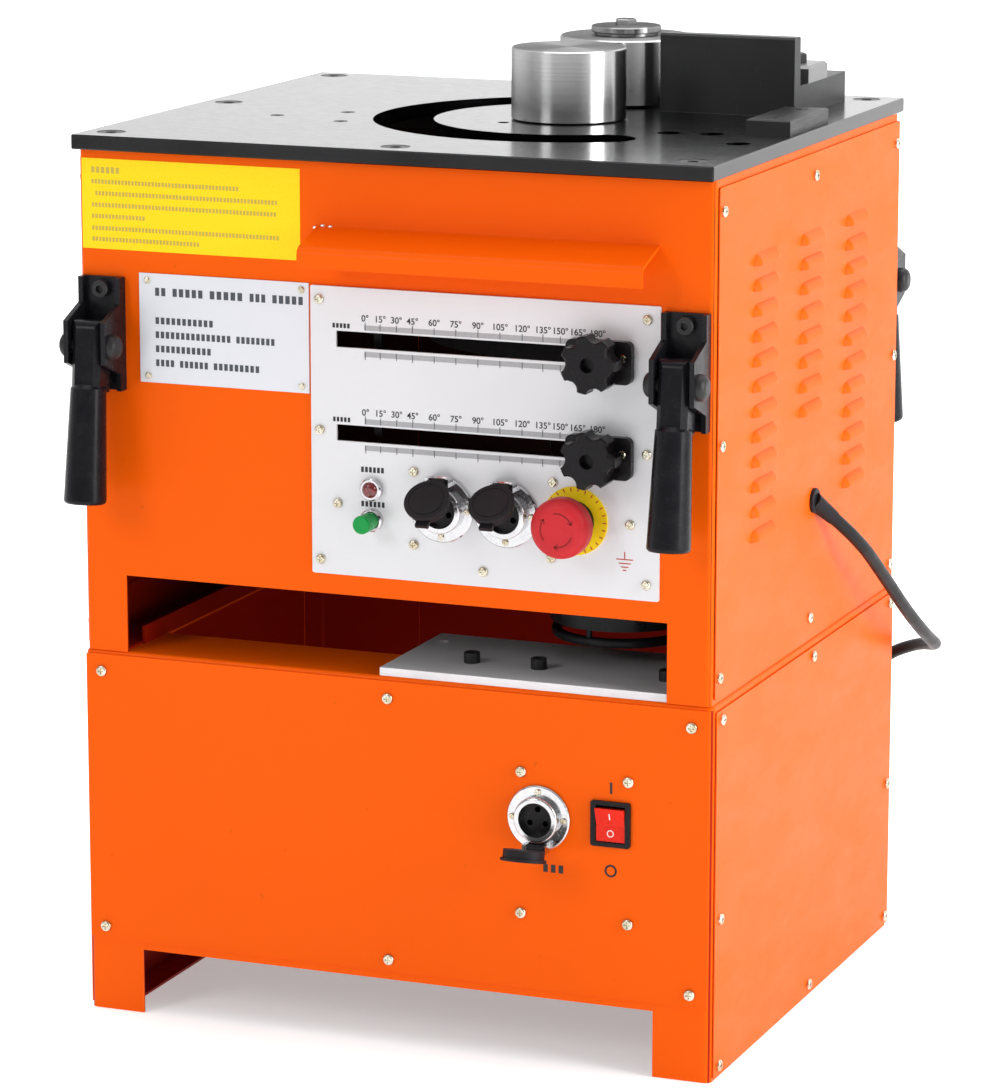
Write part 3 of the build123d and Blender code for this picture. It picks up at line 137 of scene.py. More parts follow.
# ---- material building ----
class Look:
    """A procedural material built on one Principled shader."""

    def __init__(self, name, color, rough, metallic=0.0):
        self.material = bpy.data.materials.new(name)
        self.material.use_nodes = True
        self.tree = self.material.node_tree
        self.shader = self.tree.nodes["Principled BSDF"]
        self.shader.inputs["Base Color"].default_value = (*color, 1.0)
        self.shader.inputs["Roughness"].default_value = rough
        self.shader.inputs["Metallic"].default_value = metallic
        self.color = self.constant(color)
        self.place = self.node("ShaderNodeTexCoord").outputs["Object"]
        self.bumps = None

    def node(self, kind, **settings):
        made = self.tree.nodes.new(kind)
        for key, value in settings.items():
            setattr(made, key, value)
        return made

    def link(self, source, target):
        self.tree.links.new(source, target)

    def constant(self, color):
        made = self.node("ShaderNodeRGB")
        made.outputs[0].default_value = (*color, 1.0)
        return made.outputs[0]

    def math(self, operation, a, b=None, clamp=False):
        made = self.node("ShaderNodeMath", operation=operation, use_clamp=clamp)
        for socket, value in zip(made.inputs, (a, b)):
            if isinstance(value, (int, float)):
                socket.default_value = value
            elif value is not None:
                self.link(value, socket)
        return made.outputs[0]

    def stretched(self, scale):
        """Object coordinates multiplied along each axis."""
        made = self.node("ShaderNodeVectorMath", operation="MULTIPLY")
        self.link(self.place, made.inputs[0])
        made.inputs[1].default_value = scale
        return made.outputs[0]

    def noise(self, scale, detail=3.0, rough=0.55, stretch=None, vector=None):
        made = self.node("ShaderNodeTexNoise")
        made.inputs["Scale"].default_value = scale
        made.inputs["Detail"].default_value = detail
        made.inputs["Roughness"].default_value = rough
        source = vector or (self.stretched(stretch) if stretch else self.place)
        self.link(source, made.inputs["Vector"])
        return made.outputs["Fac"]

    def ranged(self, value, low, high, start=0.3, end=0.7):
        made = self.node("ShaderNodeMapRange")
        self.link(value, made.inputs["Value"])
        for key, number in (("From Min", start), ("From Max", end), ("To Min", low), ("To Max", high)):
            made.inputs[key].default_value = number
        return made.outputs["Result"]

    def tint(self, mask, color):
        """Mixes a colour over the surface where the mask is 1."""
        made = self.node("ShaderNodeMix", data_type="RGBA")
        self.link(mask, made.inputs["Factor"])
        self.link(self.color, made.inputs[6])
        made.inputs[7].default_value = (*color, 1.0)
        self.color = made.outputs[2]
        self.link(self.color, self.shader.inputs["Base Color"])

    def roughness(self, value):
        self.link(value, self.shader.inputs["Roughness"])

    def bump(self, height, distance, strength=1.0):
        made = self.node("ShaderNodeBump")
        made.inputs["Distance"].default_value = distance
        made.inputs["Strength"].default_value = strength
        self.link(height, made.inputs["Height"])
        if self.bumps:
            self.link(self.bumps, made.inputs["Normal"])
        self.bumps = made.outputs["Normal"]
        self.link(self.bumps, self.shader.inputs["Normal"])

    def sheen(self, level):
        """How strongly the surface reflects at right angles; 0.5 is ordinary plastic."""
        self.shader.inputs["Specular IOR Level"].default_value = level

    def coat(self, weight, rough):
        self.shader.inputs["Coat Weight"].default_value = weight
        self.shader.inputs["Coat Roughness"].default_value = rough

    def edges(self, color, width, amount=0.8):
        """Worn light on convex edges, from a bevel normal compared with the true one."""
        bevel = self.node("ShaderNodeBevel", samples=4)
        bevel.inputs["Radius"].default_value = width
        geometry = self.node("ShaderNodeNewGeometry")
        dot = self.node("ShaderNodeVectorMath", operation="DOT_PRODUCT")
        self.link(bevel.outputs["Normal"], dot.inputs[0])
        self.link(geometry.outputs["Normal"], dot.inputs[1])
        bent = self.math("SUBTRACT", 1.0, dot.outputs["Value"], clamp=True)
        broken = self.math("MULTIPLY", self.ranged(bent, 0.0, 1.0, 0.03, 0.25),
                           self.ranged(self.noise(260.0), 0.3, 1.0))
        self.tint(self.math("MULTIPLY", broken, amount, clamp=True), color)


def powder_coat(name, color, half_x, half_y=0.2175, top=0.66):
    """Semi-gloss powder coat with orange peel and faint handling marks, and painted shade on the interior
    surfaces: dark red-brown low down, near black higher up.
    """
    look = Look(name, color, 0.38)
    cloud = look.ranged(look.noise(3.5, 4.0), 0.0, 0.35)
    look.tint(cloud, tuple(c * 0.86 for c in color))
    rubbed = look.ranged(look.noise(14.0, 6.0, 0.7, stretch=(1.0, 1.0, 2.5)), 0.30, 0.46)
    look.roughness(rubbed)
    look.tint(look.ranged(look.noise(120.0, 2.0), 0.0, 0.35, 0.74, 0.80), tuple(c * 0.55 for c in color))
    look.edges(tuple(min(1.0, c * 1.25 + 0.02) for c in color), 0.0012, 0.4)
    # Painted shade: faces within the box of half_x and half_y, below top, are tinted dark red-brown to stand
    # for the unlit interior.
    apart = look.node("ShaderNodeSeparateXYZ")
    look.link(look.place, apart.inputs[0])
    within_x = look.math("LESS_THAN", look.math("ABSOLUTE", apart.outputs["X"]), half_x)
    within_y = look.math("LESS_THAN", look.math("ABSOLUTE", apart.outputs["Y"]), half_y)
    below = look.math("LESS_THAN", apart.outputs["Z"], top)
    interior_shade = look.math("MULTIPLY", look.math("MULTIPLY", within_x, within_y), below)
    look.tint(interior_shade, (0.34, 0.012, 0.002))
    # Painted shade: higher up in the interior the tint ramps to near black, so the slots look dark.
    upper = look.ranged(apart.outputs["Z"], 0.0, 1.0, 0.325, 0.345)
    look.tint(look.math("MULTIPLY", interior_shade, upper), (0.020, 0.004, 0.003))
    look.bump(look.noise(420.0, 2.0), 0.00012, 0.35)
    look.bump(look.noise(16.0, 2.0), 0.0006, 0.25)
    look.sheen(0.06)
    look.coat(0.02, 0.2)
    return look.material


def black_oxide(name, color, rough, metallic, grain, oil=0.0):
    """Blackened ground steel: dark, with a directional grain, faint scratches and light edges."""
    look = Look(name, color, rough, metallic)
    cloud = look.ranged(look.noise(9.0, 5.0, 0.65), 0.0, 0.5)
    look.tint(cloud, tuple(c * 1.7 + 0.006 for c in color))
    fine = look.noise(60.0, 3.0, 0.6, stretch=grain)
    look.roughness(look.ranged(fine, rough - 0.05, rough + 0.07))
    across = (grain[1] * 0.8, grain[0] * 2.0, 3.0)
    scratch = look.ranged(look.noise(30.0, 2.0, 0.5, stretch=across), 0.0, 0.25, 0.70, 0.76)
    look.tint(scratch, (0.08, 0.08, 0.08))
    look.edges((0.20, 0.20, 0.21), 0.0009, 0.6)
    look.bump(fine, 0.00004, 0.3)
    look.sheen(0.3)
    look.coat(oil, 0.16)
    return look.material


def turned_steel(name, centre, color, rough):
    """Bright lathe-turned steel with fine rings round the roller's own axis."""
    look = Look(name, color, rough, 1.0)
    apart = look.node("ShaderNodeSeparateXYZ")
    look.link(look.place, apart.inputs[0])
    dx = look.math("SUBTRACT", apart.outputs["X"], centre[0] / 1000.0)
    dy = look.math("SUBTRACT", apart.outputs["Y"], centre[1] / 1000.0)
    radius = look.math("SQRT", look.math("ADD", look.math("MULTIPLY", dx, dx), look.math("MULTIPLY", dy, dy)))
    rings = look.node("ShaderNodeCombineXYZ")
    look.link(look.math("MULTIPLY", radius, 60.0), rings.inputs["X"])
    look.link(look.math("MULTIPLY", apart.outputs["Z"], 60.0), rings.inputs["Y"])
    grooves = look.noise(34.0, 3.0, 0.7, vector=rings.outputs[0])
    tangent = look.node("ShaderNodeCombineXYZ")
    look.link(look.math("MULTIPLY", dy, -1.0), tangent.inputs["X"])
    look.link(dx, tangent.inputs["Y"])
    unit = look.node("ShaderNodeVectorMath", operation="NORMALIZE")
    look.link(tangent.outputs[0], unit.inputs[0])
    look.link(unit.outputs[0], look.shader.inputs["Tangent"])
    look.shader.inputs["Anisotropic"].default_value = 0.75
    look.shader.inputs["Anisotropic Rotation"].default_value = 0.25
    look.tint(look.ranged(grooves, 0.0, 0.3), tuple(c * 0.85 for c in color))
    look.tint(look.ranged(look.noise(22.0, 5.0, 0.7), 0.0, 0.25, 0.5, 0.75), tuple(c * 0.7 for c in color))
    facing = look.node("ShaderNodeSeparateXYZ")
    look.link(look.node("ShaderNodeTexCoord").outputs["Normal"], facing.inputs[0])
    top = look.math("GREATER_THAN", facing.outputs["Z"], 0.9)
    look.tint(top, tuple(c * 0.45 for c in color))
    look.roughness(look.math("ADD", look.ranged(grooves, rough - 0.03, rough + 0.04),
                             look.math("MULTIPLY", top, 0.3)))
    look.edges((0.85, 0.85, 0.85), 0.0008, 0.5)
    look.bump(grooves, 0.000004, 0.2)
    look.shader.inputs["Specular Tint"].default_value = (0.42, 0.42, 0.42, 1.0)
    return look.material


def brushed(name, color, rough, stretch=(2.0, 60.0, 60.0), metallic=1.0):
    """Brushed metal with its grain along one axis."""
    look = Look(name, color, rough, metallic)
    grain = look.noise(22.0, 4.0, 0.7, stretch=stretch)
    look.tint(look.ranged(grain, 0.0, 0.6), tuple(c * 0.78 for c in color))
    look.tint(look.ranged(look.noise(11.0, 5.0, 0.7), 0.0, 0.5, 0.52, 0.8), tuple(c * 0.62 for c in color))
    look.roughness(look.ranged(grain, rough - 0.07, rough + 0.1))
    look.edges(tuple(min(1.0, c * 1.3) for c in color), 0.0006, 0.5)
    look.bump(grain, 0.00004, 0.3)
    return look.material


def plated(name, color, second, rough):
    """Plated small hardware with a patchy passivated tint."""
    look = Look(name, color, rough, 1.0)
    look.tint(look.ranged(look.noise(150.0, 2.0), 0.0, 1.0, 0.42, 0.6), second)
    look.roughness(look.ranged(look.noise(500.0, 2.0), rough - 0.08, rough + 0.12))
    look.edges((0.9, 0.88, 0.8), 0.0004, 0.5)
    look.bump(look.noise(900.0, 2.0), 0.00003, 0.3)
    return look.material


def moulded(name, color, rough, grain=0.3, edge=0.35):
    """Moulded plastic or rubber: fine grain, dull patches and lighter edges."""
    look = Look(name, color, rough)
    look.tint(look.ranged(look.noise(35.0, 4.0, 0.65), 0.0, 0.4),
              tuple(min(1.0, c * 1.5 + 0.004) for c in color))
    look.roughness(look.ranged(look.noise(90.0, 3.0), rough - 0.07, rough + 0.09))
    look.edges(tuple(min(1.0, c * 1.8 + 0.03) for c in color), 0.0007, edge)
    look.bump(look.noise(1500.0, 2.0), 0.00004, grain)
    look.sheen(0.15)
    return look.material


def panel_paint(name, color):
    """Satin silver-white anodised sheet."""
    look = Look(name, color, 0.36, 0.15)
    grain = look.noise(45.0, 3.0, 0.6, stretch=(1.0, 30.0, 26.0))
    look.tint(look.ranged(grain, 0.0, 0.12), tuple(c * 0.93 for c in color))
    look.tint(look.ranged(look.noise(6.0, 4.0), 0.0, 0.10), tuple(c * 0.88 for c in color))
    look.roughness(look.ranged(look.noise(20.0, 4.0), 0.30, 0.42))
    look.bump(grain, 0.00003, 0.2)
    return look.material


def ink(name, color, rough=0.5):
    """Printed ink, a little uneven."""
    look = Look(name, color, rough)
    look.tint(look.ranged(look.noise(700.0, 3.0), 0.0, 0.5), tuple(min(1.0, c * 1.15 + 0.02) for c in color))
    look.roughness(look.ranged(look.noise(300.0, 2.0), rough - 0.08, rough + 0.08))
    look.sheen(0.15)
    return look.material


def lens_glass(name, color):
    """Red lamp lens with inner facets."""
    look = Look(name, color, 0.12)
    cells = look.node("ShaderNodeTexVoronoi", feature="F1")
    cells.inputs["Scale"].default_value = 420.0
    look.link(look.place, cells.inputs["Vector"])
    look.tint(look.ranged(cells.outputs["Distance"], 0.0, 0.8, 0.1, 0.6), tuple(c * 0.35 for c in color))
    look.bump(cells.outputs["Distance"], 0.0004, 0.5)
    look.roughness(look.ranged(look.noise(200.0), 0.08, 0.2))
    look.shader.inputs["Transmission Weight"].default_value = 0.15
    look.coat(0.8, 0.05)
    return look.material


ORANGE = (0.86, 0.105, 0.0008)
LOOKS = {
    "cabinet_coat": powder_coat("cabinet_powder_coat", ORANGE, 0.2475),
    "cabinet_skin_coat": powder_coat("cabinet_skin_powder_coat", ORANGE, 0.2492),
    "stand_coat": powder_coat("stand_powder_coat", ORANGE, 0.2497, 0.2175, 0.2792),
    "stand_skin_coat": powder_coat("stand_skin_powder_coat", ORANGE, 0.2512),
    "rear_coat": powder_coat("rear_powder_coat", ORANGE, 0.2475, 0.2192),
    "plate": black_oxide("plate_black_oxide", (0.020, 0.020, 0.021), 0.20, 1.0, (2.0, 30.0, 30.0), 0.16),
    "black_steel": black_oxide("satin_black_steel", (0.020, 0.020, 0.021), 0.42, 0.4, (2.0, 22.0, 22.0)),
    "bracket": moulded("bracket_black_paint", (0.008, 0.008, 0.010), 0.26, 0.2, 0.5),
    "primer": moulded("dark_primer", (0.02, 0.018, 0.017), 0.55, 0.4, 0.3),
    "centre": turned_steel("centre_roller_steel", (SPINDLE_X, 0), (0.60, 0.60, 0.60), 0.22),
    "bending": turned_steel("bending_roller_steel", (SPINDLE_X, ORBIT_R), (0.54, 0.54, 0.54), 0.22),
    "keeper": turned_steel("keeper_steel", (SPINDLE_X, ORBIT_R), (0.32, 0.32, 0.32), 0.24),
    "bar": brushed("brushed_bar", (0.30, 0.30, 0.30), 0.42),
    "dark_bar": brushed("stop_bar_steel", (0.055, 0.055, 0.056), 0.38, (60.0, 2.0, 60.0)),
    "tray": brushed("tray_steel", (0.78, 0.78, 0.80), 0.40, (3.0, 40.0, 40.0), 0.25),
    "gear": brushed("gear_steel", (0.32, 0.32, 0.33), 0.35, (20.0, 20.0, 1.0)),
    "casting": moulded("painted_casting", (0.035, 0.037, 0.04), 0.6, 0.9, 0.4),
    "motor": moulded("motor_enamel", (0.010, 0.010, 0.012), 0.32, 0.5, 0.6),
    "panel": panel_paint("panel_silver_white", (0.69, 0.69, 0.71)),
    "name": panel_paint("name_plate_silver", (0.68, 0.69, 0.73)),
    "chrome": plated("chrome", (0.60, 0.60, 0.61), (0.56, 0.56, 0.58), 0.16),
    "zinc": plated("yellow_zinc", (0.70, 0.67, 0.56), (0.50, 0.44, 0.31), 0.24),
    "plastic": moulded("black_plastic", (0.007, 0.006, 0.007), 0.26),
    "grip": moulded("grip_plastic", (0.006, 0.006, 0.008), 0.24, 0.25, 0.4),
    "rubber": moulded("soft_rubber", (0.012, 0.010, 0.012), 0.48, 0.6, 0.3),
    "sheath": moulded("cord_sheath", (0.009, 0.009, 0.010), 0.38, 0.5, 0.2),
    "red": moulded("stop_red", (0.46, 0.020, 0.026), 0.38, 0.2, 0.3),
    "rocker": moulded("rocker_red", (0.66, 0.016, 0.004), 0.25, 0.1, 0.3),
    "green": moulded("button_green", (0.010, 0.26, 0.055), 0.28, 0.1, 0.4),
    "yellow": moulded("disc_yellow", (0.85, 0.56, 0.01), 0.36, 0.2, 0.2),
    "lens": lens_glass("lamp_red", (0.30, 0.008, 0.010)),
    "label": ink("label_yellow", (0.95, 0.62, 0.004), 0.42),
    "ink": ink("black_ink", (0.03, 0.03, 0.03)),
    "grey_ink": ink("grey_ink", (0.36, 0.36, 0.37)),
    "faint_ink": ink("faint_ink", (0.50, 0.38, 0.06)),
    "slate_ink": ink("slate_ink", (0.07, 0.075, 0.09)),
    "red_ink": ink("red_ink", (0.45, 0.05, 0.03)),
    "dark_red": ink("pressed_line_red", (0.26, 0.010, 0.012)),
    "white_ink": ink("white_ink", (0.85, 0.80, 0.80)),
    # Painted highlight: the near-white colour of the weld spots stands for the glint on them.
    "weld": brushed("weld_spot_highlight_paint", (0.85, 0.80, 0.76), 0.3, (40.0, 40.0, 40.0)),
}

WEARS = {
    "cabinet_coat": ["cabinet_frame", "visor"],
    "cabinet_skin_coat": ["cabinet_side_panels"],
    "stand_coat": ["stand_frame", "stand_front_panel"],
    "stand_skin_coat": ["stand_side_panels"],
    "rear_coat": ["cabinet_rear_panel", "stand_rear_panel"],
    "plate": ["work_plate"],
    "black_steel": ["plate_bolts", "fence", "handle_fasteners"],
    "dark_bar": ["stop_block"],
    "bracket": ["handle_brackets"],
    "primer": ["top_frame"],
    "centre": ["centre_roller"],
    "bending": ["bending_roller", "roller_pin"],
    "keeper": ["roller_cap"],
    "bar": ["fence_clamp", "guide_rod"],
    "tray": ["base_plate"],
    "gear": ["spindle_arm", "main_gear", "layshaft", "motor_rotor"],
    "casting": ["gearbox_case", "gearbox_cover"],
    "motor": ["motor_housing"],
    "panel": ["control_panel"],
    "name": ["name_plate"],
    "chrome": ["indicator_bezels", "socket_flanges"],
    "zinc": ["cabinet_screws", "panel_fasteners"],
    "plastic": ["trip_carriage", "estop_housing", "estop_plunger", "rocker_frame", "socket_inserts",
                "slider_upper", "slider_lower", "knob_upper", "knob_lower"],
    "grip": ["grip_front_left", "grip_front_right", "grip_rear_left", "grip_rear_right"],
    "rubber": ["socket_cap_left", "socket_cap_right", "socket_cap_stand", "cable_boot"],
    "sheath": ["power_cord", "cord_coil", "power_plug"],
    "red": ["estop_head"],
    "rocker": ["rocker_button"],
    "green": ["start_button"],
    "yellow": ["estop_disc"],
    "lens": ["lamp_lens"],
}
for look, names in WEARS.items():
    for name in names:
        NODES[name].data.materials.clear()
        NODES[name].data.materials.append(LOOKS[look])
CORD.data.materials.append(LOOKS["sheath"])


# ---- printed and small added pieces ----
def mesh_piece(name, build, look, body="machine"):
    """A mesh made by a function that fills a bmesh, riding on a body."""
    shell = bmesh.new()
    build(shell)
    data = bpy.data.meshes.new(name)
    shell.to_mesh(data)
    shell.free()
    data.materials.append(LOOKS[look])
    made = bpy.data.objects.new(name, data)
    bpy.context.scene.collection.objects.link(made)
    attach(made, body)
    return made


def add_box(shell, x0, x1, y0, y1, z0, z1, turn=0.0):
    """A box in millimetres, optionally turned in the front plane about its own middle."""
    centre = metres((x0 + x1) / 2, (y0 + y1) / 2, (z0 + z1) / 2)
    size = metres(abs(x1 - x0), abs(y1 - y0), abs(z1 - z0))
    matrix = Matrix.Translation(centre) @ Matrix.Rotation(turn, 4, "Y") @ Matrix.Diagonal((*size, 1.0))
    bmesh.ops.create_cube(shell, size=1.0, matrix=matrix)


def add_arc(shell, x, z, radius, width, start, end, y, depth, steps=20):
    """A flat band of arc in the front plane, angles in degrees."""
    for i in range(steps):
        a = math.radians(start + (end - start) * (i + 0.5) / steps)
        length = math.radians(abs(end - start)) * (radius + width / 2) / steps * 1.04
        cx, cz = x + radius * math.cos(a), z + radius * math.sin(a)
        add_box(shell, cx - length / 2, cx + length / 2, y - depth / 2, y + depth / 2,
                cz - width / 2, cz + width / 2, math.pi / 2 - a)


MARK_X = (-18.2, -6.4, 6.4, 19.0, 35.9, 52.8, 69.9, 86.9, 104.0, 119.9, 133.2, 146.6, 161.6)


def scale_bands(shell):
    """Grey bands above and below each slot."""
    for z in SLOT_Z:
        for low, high in ((z + 7.4, z + 11.2), (z - 12.0, z - 8.2)):
            add_box(shell, -19.0, 163.0, PANEL_FACE - PRINT, PANEL_FACE, low, high)


def scale_ticks(shell):
    """Division marks of the angle scales."""
    for z in SLOT_Z:
        for i, x in enumerate(MARK_X):
            reach = 1.6 if i % 3 == 0 else 0.8
            add_box(shell, x - 0.25, x + 0.25, PANEL_FACE - 2 * PRINT, PANEL_FACE, z + 7.4, z + 11.6 + reach)
            add_box(shell, x - 0.25, x + 0.25, PANEL_FACE - 2 * PRINT, PANEL_FACE, z - 12.4 - reach, z - 8.2)


def word_bars(shell, words, y):
    """Rows of short blocks that stand for lettering: x, z, word widths, letter height."""
    for x, z, widths, height in words:
        for width in widths:
            letters = max(1, round(width / (height * 0.85)))
            pitch = width / letters
            for i in range(letters):
                left = x + i * pitch
                add_box(shell, left, left + pitch * 0.66, y - PRINT, y, z - height / 2, z + height / 2)
            x += width + height * 0.7


def name_words(shell):
    rows = [(-187.0, 557.5, (10.0, 26.0, 28.0, 14.0, 26.0), 6.0), (-187.0, 536.0, (48.0,), 5.0),
            (-187.0, 525.5, (62.0, 32.0), 5.0), (-187.0, 515.0, (46.0,), 5.0),
            (-187.0, 504.5, (16.0, 24.0, 38.0), 5.0)]
    word_bars(shell, rows, FRONT - 1.0)


def label_words(shell):
    rows = [(-238.0, 645.5, (24.0,), 4.6), (-238.0, 636.8, (120.0,), 3.2), (-235.0, 628.2, (148.0,), 3.2),
            (-238.0, 619.6, (150.0,), 3.2), (-238.0, 611.2, (44.0,), 3.2), (-238.0, 602.4, (152.0,), 3.2),
            (-238.0, 594.2, (88.0,), 3.2)]
    word_bars(shell, rows, FRONT - 0.35)


def panel_words(shell):
    rows = [(-44.0, 541.5, (14.5,), 3.4), (-44.0, 472.3, (14.5,), 3.4), (-22.0, 436.5, (19.0,), 4.0),
            (-22.0, 411.0, (19.5,), 4.0)]
    word_bars(shell, rows, PANEL_FACE)


def earth_mark(shell):
    y = PANEL_FACE
    add_box(shell, 182.6, 183.4, y - PRINT, y, 385.5, 391.0)
    for half, z in ((6.5, 385.5), (4.6, 382.6), (2.9, 379.9), (1.4, 377.6)):
        add_box(shell, 183.0 - half, 183.0 + half, y - PRINT, y, z - 0.4, z + 0.4)


def stand_marks(shell):
    """Generic closed and open circuit marks beside the rocker, and a mark under the socket."""
    y = STAND_FACE - PRINT / 2
    add_box(shell, 172.6, 174.4, STAND_FACE - PRINT, STAND_FACE, 211.0, 219.5)
    add_arc(shell, 173.5, 153.0, 4.0, 1.5, 0, 360, y, PRINT, 28)
    for i in range(3):
        add_box(shell, 121.0 + 6.0 * i, 124.5 + 6.0 * i, STAND_FACE - PRINT, STAND_FACE, 147.0, 153.0)


def disc_marks(shell):
    """Ring of short strokes on the yellow disc."""
    disc_face = PANEL_FACE - 1.5
    for i in range(26):
        a = 2 * math.pi * i / 26
        x, z = STOP_X + 23.0 * math.cos(a), STOP_Z + 23.0 * math.sin(a)
        add_box(shell, x - 0.45, x + 0.45, disc_face - PRINT, disc_face, z - 1.3, z + 1.3, math.pi / 2 - a)


def head_arrows(shell):
    """Three turning arrows pressed into the mushroom head."""
    y, reach, sweep = PANEL_FACE - 38.0, 12.2, 78
    for i in range(3):
        start = 100 + 120 * i
        add_arc(shell, STOP_X, STOP_Z, reach, 1.1, start, start - sweep, y - 0.03, 0.14, 16)
        for side in (-1, 1):
            a = math.radians(start - sweep + 7)
            x = STOP_X + (reach + side * 1.1) * math.cos(a)
            z = STOP_Z + (reach + side * 1.1) * math.sin(a)
            add_box(shell, x - 1.6, x + 1.6, y - 0.1, y + 0.04, z - 0.45, z + 0.45,
                    math.pi / 2 - a + side * 0.7)


def rocker_marks(shell):
    """White line and ring on the rocker's two faces, tilted with them."""
    centre = metres(ROCKER_X, STAND_FACE, 188.5)
    add_box(shell, ROCKER_X - 0.4, ROCKER_X + 0.4, STAND_FACE - 3.1, STAND_FACE - 2.9, 192.5, 197.5)
    add_arc(shell, ROCKER_X, 181.8, 2.3, 0.7, 0, 360, STAND_FACE - 2.9, 0.2, 24)
    for vert in shell.verts:
        up = vert.co.z - centre.z
        vert.co.y -= abs(up) * 2.0 / 12.8 - 0.00125
    bmesh.ops.rotate(shell, cent=centre, matrix=Matrix.Rotation(math.radians(9.0), 3, "X"), verts=shell.verts)


def slider_screw(level):
    """Small screw in the slider's front plate, right of the knob."""
    def build(shell):
        z = SLOT_Z[level] + 0.4
        turn = Matrix.Translation(metres(182.5, PANEL_FACE - 6.9, z)) @ Matrix.Rotation(math.pi / 2, 4, "X")
        for foot, head, depth in ((0.0031, 0.0024, 0.0011), (0.0013, 0.0013, 0.0014)):
            bmesh.ops.create_cone(shell, cap_ends=True, segments=24, radius1=foot, radius2=head, depth=depth,
                                  matrix=turn)
    return build


# Weld spots as small flattened bumps; the bumps are real, their near-white colour is a painted highlight.
def weld_spots(shell):
    for x, z in ((-58.0, 612.0), (-52.0, 613.5), (-46.0, 613.0)):
        flattened = Matrix.Diagonal((0.0020, 0.0009, 0.0012, 1.0))
        matrix = Matrix.Translation(metres(x, FRONT - 0.4, z)) @ flattened
        bmesh.ops.create_icosphere(shell, subdivisions=2, radius=1.0, matrix=matrix)


def yellow_label(shell):
    add_box(shell, -246.0, -70.0, FRONT - 0.35, FRONT, 587.0, 654.0)


def add_numerals():
    """Degree numbers of both angle scales as one flat mesh."""
    upright = Matrix.Rotation(math.pi / 2, 4, "X")
    shell = bmesh.new()
    for z in (547.6, 478.4):
        for i, x in enumerate(MARK_X):
            text = bpy.data.curves.new("numeral", "FONT")
            text.body = f"{15 * i}°"
            text.size = 0.0066
            text.align_x = "CENTER"
            text.align_y = "CENTER"
            text.extrude = 0.00004
            text.offset = 0.00010
            holder = bpy.data.objects.new("numeral", text)
            bpy.context.scene.collection.objects.link(holder)
            bpy.context.view_layer.update()
            flat = bpy.data.meshes.new_from_object(holder)
            flat.transform(Matrix.Translation(metres(x, PANEL_FACE - 0.06, z)) @ upright)
            shell.from_mesh(flat)
            bpy.data.objects.remove(holder)
            bpy.data.curves.remove(text)
            bpy.data.meshes.remove(flat)
    data = bpy.data.meshes.new("scale_numerals")
    shell.to_mesh(data)
    shell.free()
    data.materials.append(LOOKS["ink"])
    numerals = bpy.data.objects.new("scale_numerals", data)
    bpy.context.scene.collection.objects.link(numerals)
    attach(numerals, "machine")


mesh_piece("scale_bands", scale_bands, "grey_ink")
mesh_piece("scale_ticks", scale_ticks, "slate_ink")
mesh_piece("name_plate_lines", name_words, "slate_ink")
mesh_piece("yellow_label", yellow_label, "label")
mesh_piece("label_lines", label_words, "faint_ink")
mesh_piece("panel_lines", panel_words, "ink")
mesh_piece("earth_mark", earth_mark, "red_ink")
mesh_piece("stand_marks", stand_marks, "ink")
mesh_piece("disc_marks", disc_marks, "red_ink")
mesh_piece("head_arrows", head_arrows, "dark_red", "stop_head")
mesh_piece("rocker_marks", rocker_marks, "white_ink", "rocker")
mesh_piece("weld_spots", weld_spots, "weld")
mesh_piece("slider_screw_upper", slider_screw(0), "zinc", "upper_slider")
mesh_piece("slider_screw_lower", slider_screw(1), "zinc", "lower_slider")
add_numerals()


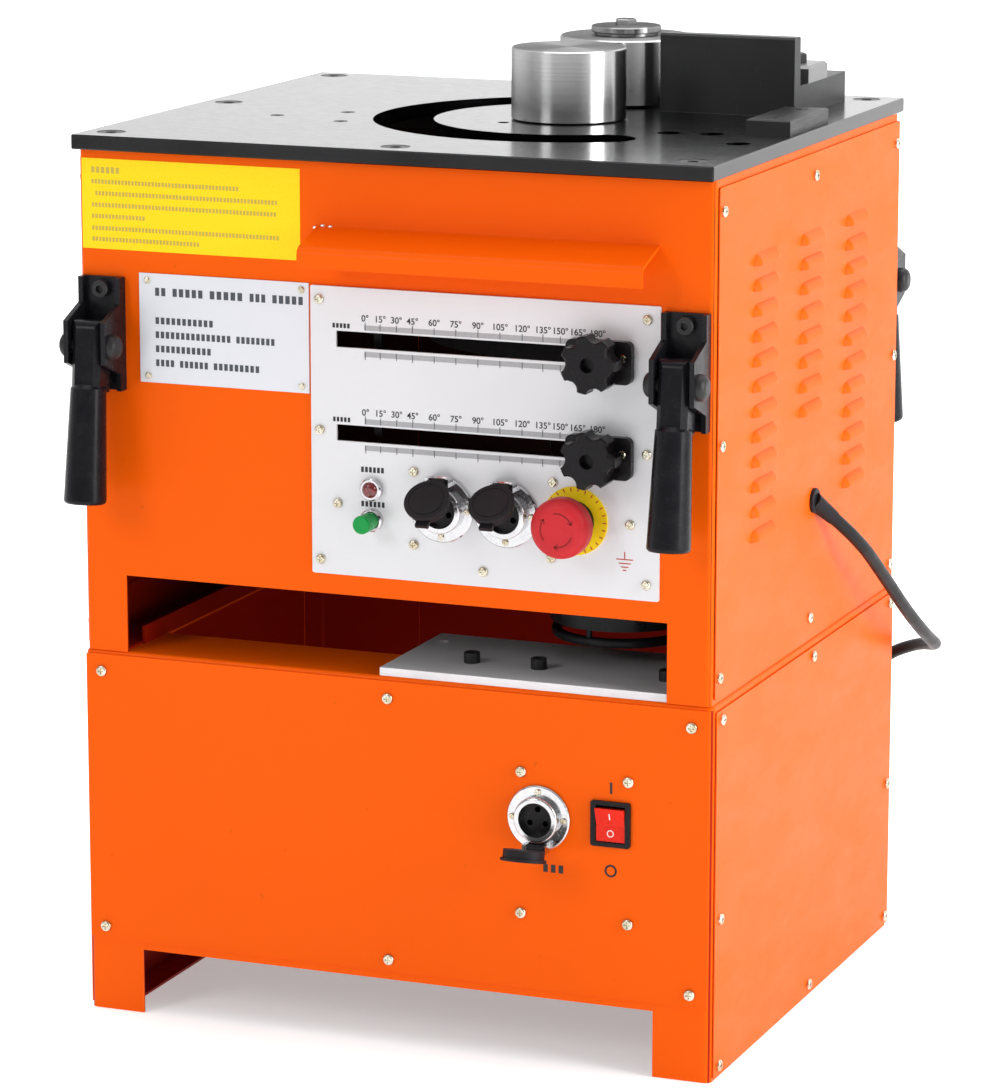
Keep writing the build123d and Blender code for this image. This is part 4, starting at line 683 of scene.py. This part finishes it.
# ---- studio ----
def add_backdrop():
    """Pale floor that curves up into a wall behind the machine."""
    shell = bmesh.new()
    near, flat_end, bend, wall_top, half_width, drop = -15.4, 5.7, 3.5, 15.4, 17.6, 0.0004
    profile = [(near, 0.0), (flat_end, 0.0)]
    for step in range(1, 16):
        angle = math.radians(6 * step)
        profile.append((flat_end + bend * math.sin(angle), bend - bend * math.cos(angle)))
    profile.append((flat_end + bend, wall_top))
    rows = [[shell.verts.new((x, y, z - drop)) for y, z in profile] for x in (-half_width, half_width)]
    for i in range(len(profile) - 1):
        shell.faces.new((rows[0][i], rows[1][i], rows[1][i + 1], rows[0][i + 1]))
    data = bpy.data.meshes.new("backdrop")
    shell.to_mesh(data)
    shell.free()
    for face in data.polygons:
        face.use_smooth = True
    look = Look("backdrop_paper", (0.90, 0.90, 0.90), 0.75)
    look.tint(look.ranged(look.noise(1.5), 0.0, 0.3), (0.88, 0.88, 0.885))
    look.shader.inputs["Emission Color"].default_value = (1.0, 1.0, 1.0, 1.0)
    look.shader.inputs["Emission Strength"].default_value = 0.38
    data.materials.append(look.material)
    made = bpy.data.objects.new("backdrop", data)
    bpy.context.scene.collection.objects.link(made)


def add_light(name, place, target, size, power):
    data = bpy.data.lights.new(name, "AREA")
    data.shape = "RECTANGLE"
    data.size, data.size_y = size
    data.energy = power
    made = bpy.data.objects.new(name, data)
    made.location = place
    made.rotation_euler = (Vector(target) - Vector(place)).to_track_quat("-Z", "Y").to_euler()
    made.visible_camera = False
    bpy.context.scene.collection.objects.link(made)
    return made


def add_studio():
    """White room that is dimmer in front, with soft lights from the front left, the right and above.

    Sheet and wall reach far past the machine to the sides, in front and behind.
    """
    add_backdrop()
    bpy.context.scene.view_settings.view_transform = "Standard"
    world = bpy.data.worlds.new("studio")
    world.use_nodes = True
    tree = world.node_tree
    background = tree.nodes["Background"]
    background.inputs["Color"].default_value = (1.0, 1.0, 1.0, 1.0)
    place = tree.nodes.new("ShaderNodeTexCoord")
    apart = tree.nodes.new("ShaderNodeSeparateXYZ")
    ramp = tree.nodes.new("ShaderNodeMapRange")
    tree.links.new(place.outputs["Generated"], apart.inputs[0])
    tree.links.new(apart.outputs["Y"], ramp.inputs["Value"])
    for key, number in (("From Min", -0.9), ("From Max", 0.3), ("To Min", 0.28), ("To Max", 1.0)):
        ramp.inputs[key].default_value = number
    tree.links.new(ramp.outputs["Result"], background.inputs["Strength"])
    bpy.context.scene.world = world
    add_light("front_key", (-1.5, -3.2, 2.1), (0.0, 0.0, 0.40), (1.2, 1.4), 31.0)
    add_light("right_key", (3.0, -0.5, 1.3), (0.1, 0.0, 0.40), (1.4, 1.8), 74.0)
    add_light("top_soft", (0.0, 0.2, 3.2), (0.0, 0.0, 0.5), (2.4, 2.4), 26.0)
    add_light("back_wall", (0.0, 3.5, 7.9), (0.0, 8.8, 1.8), (7.9, 2.2), 460.0)


add_studio()
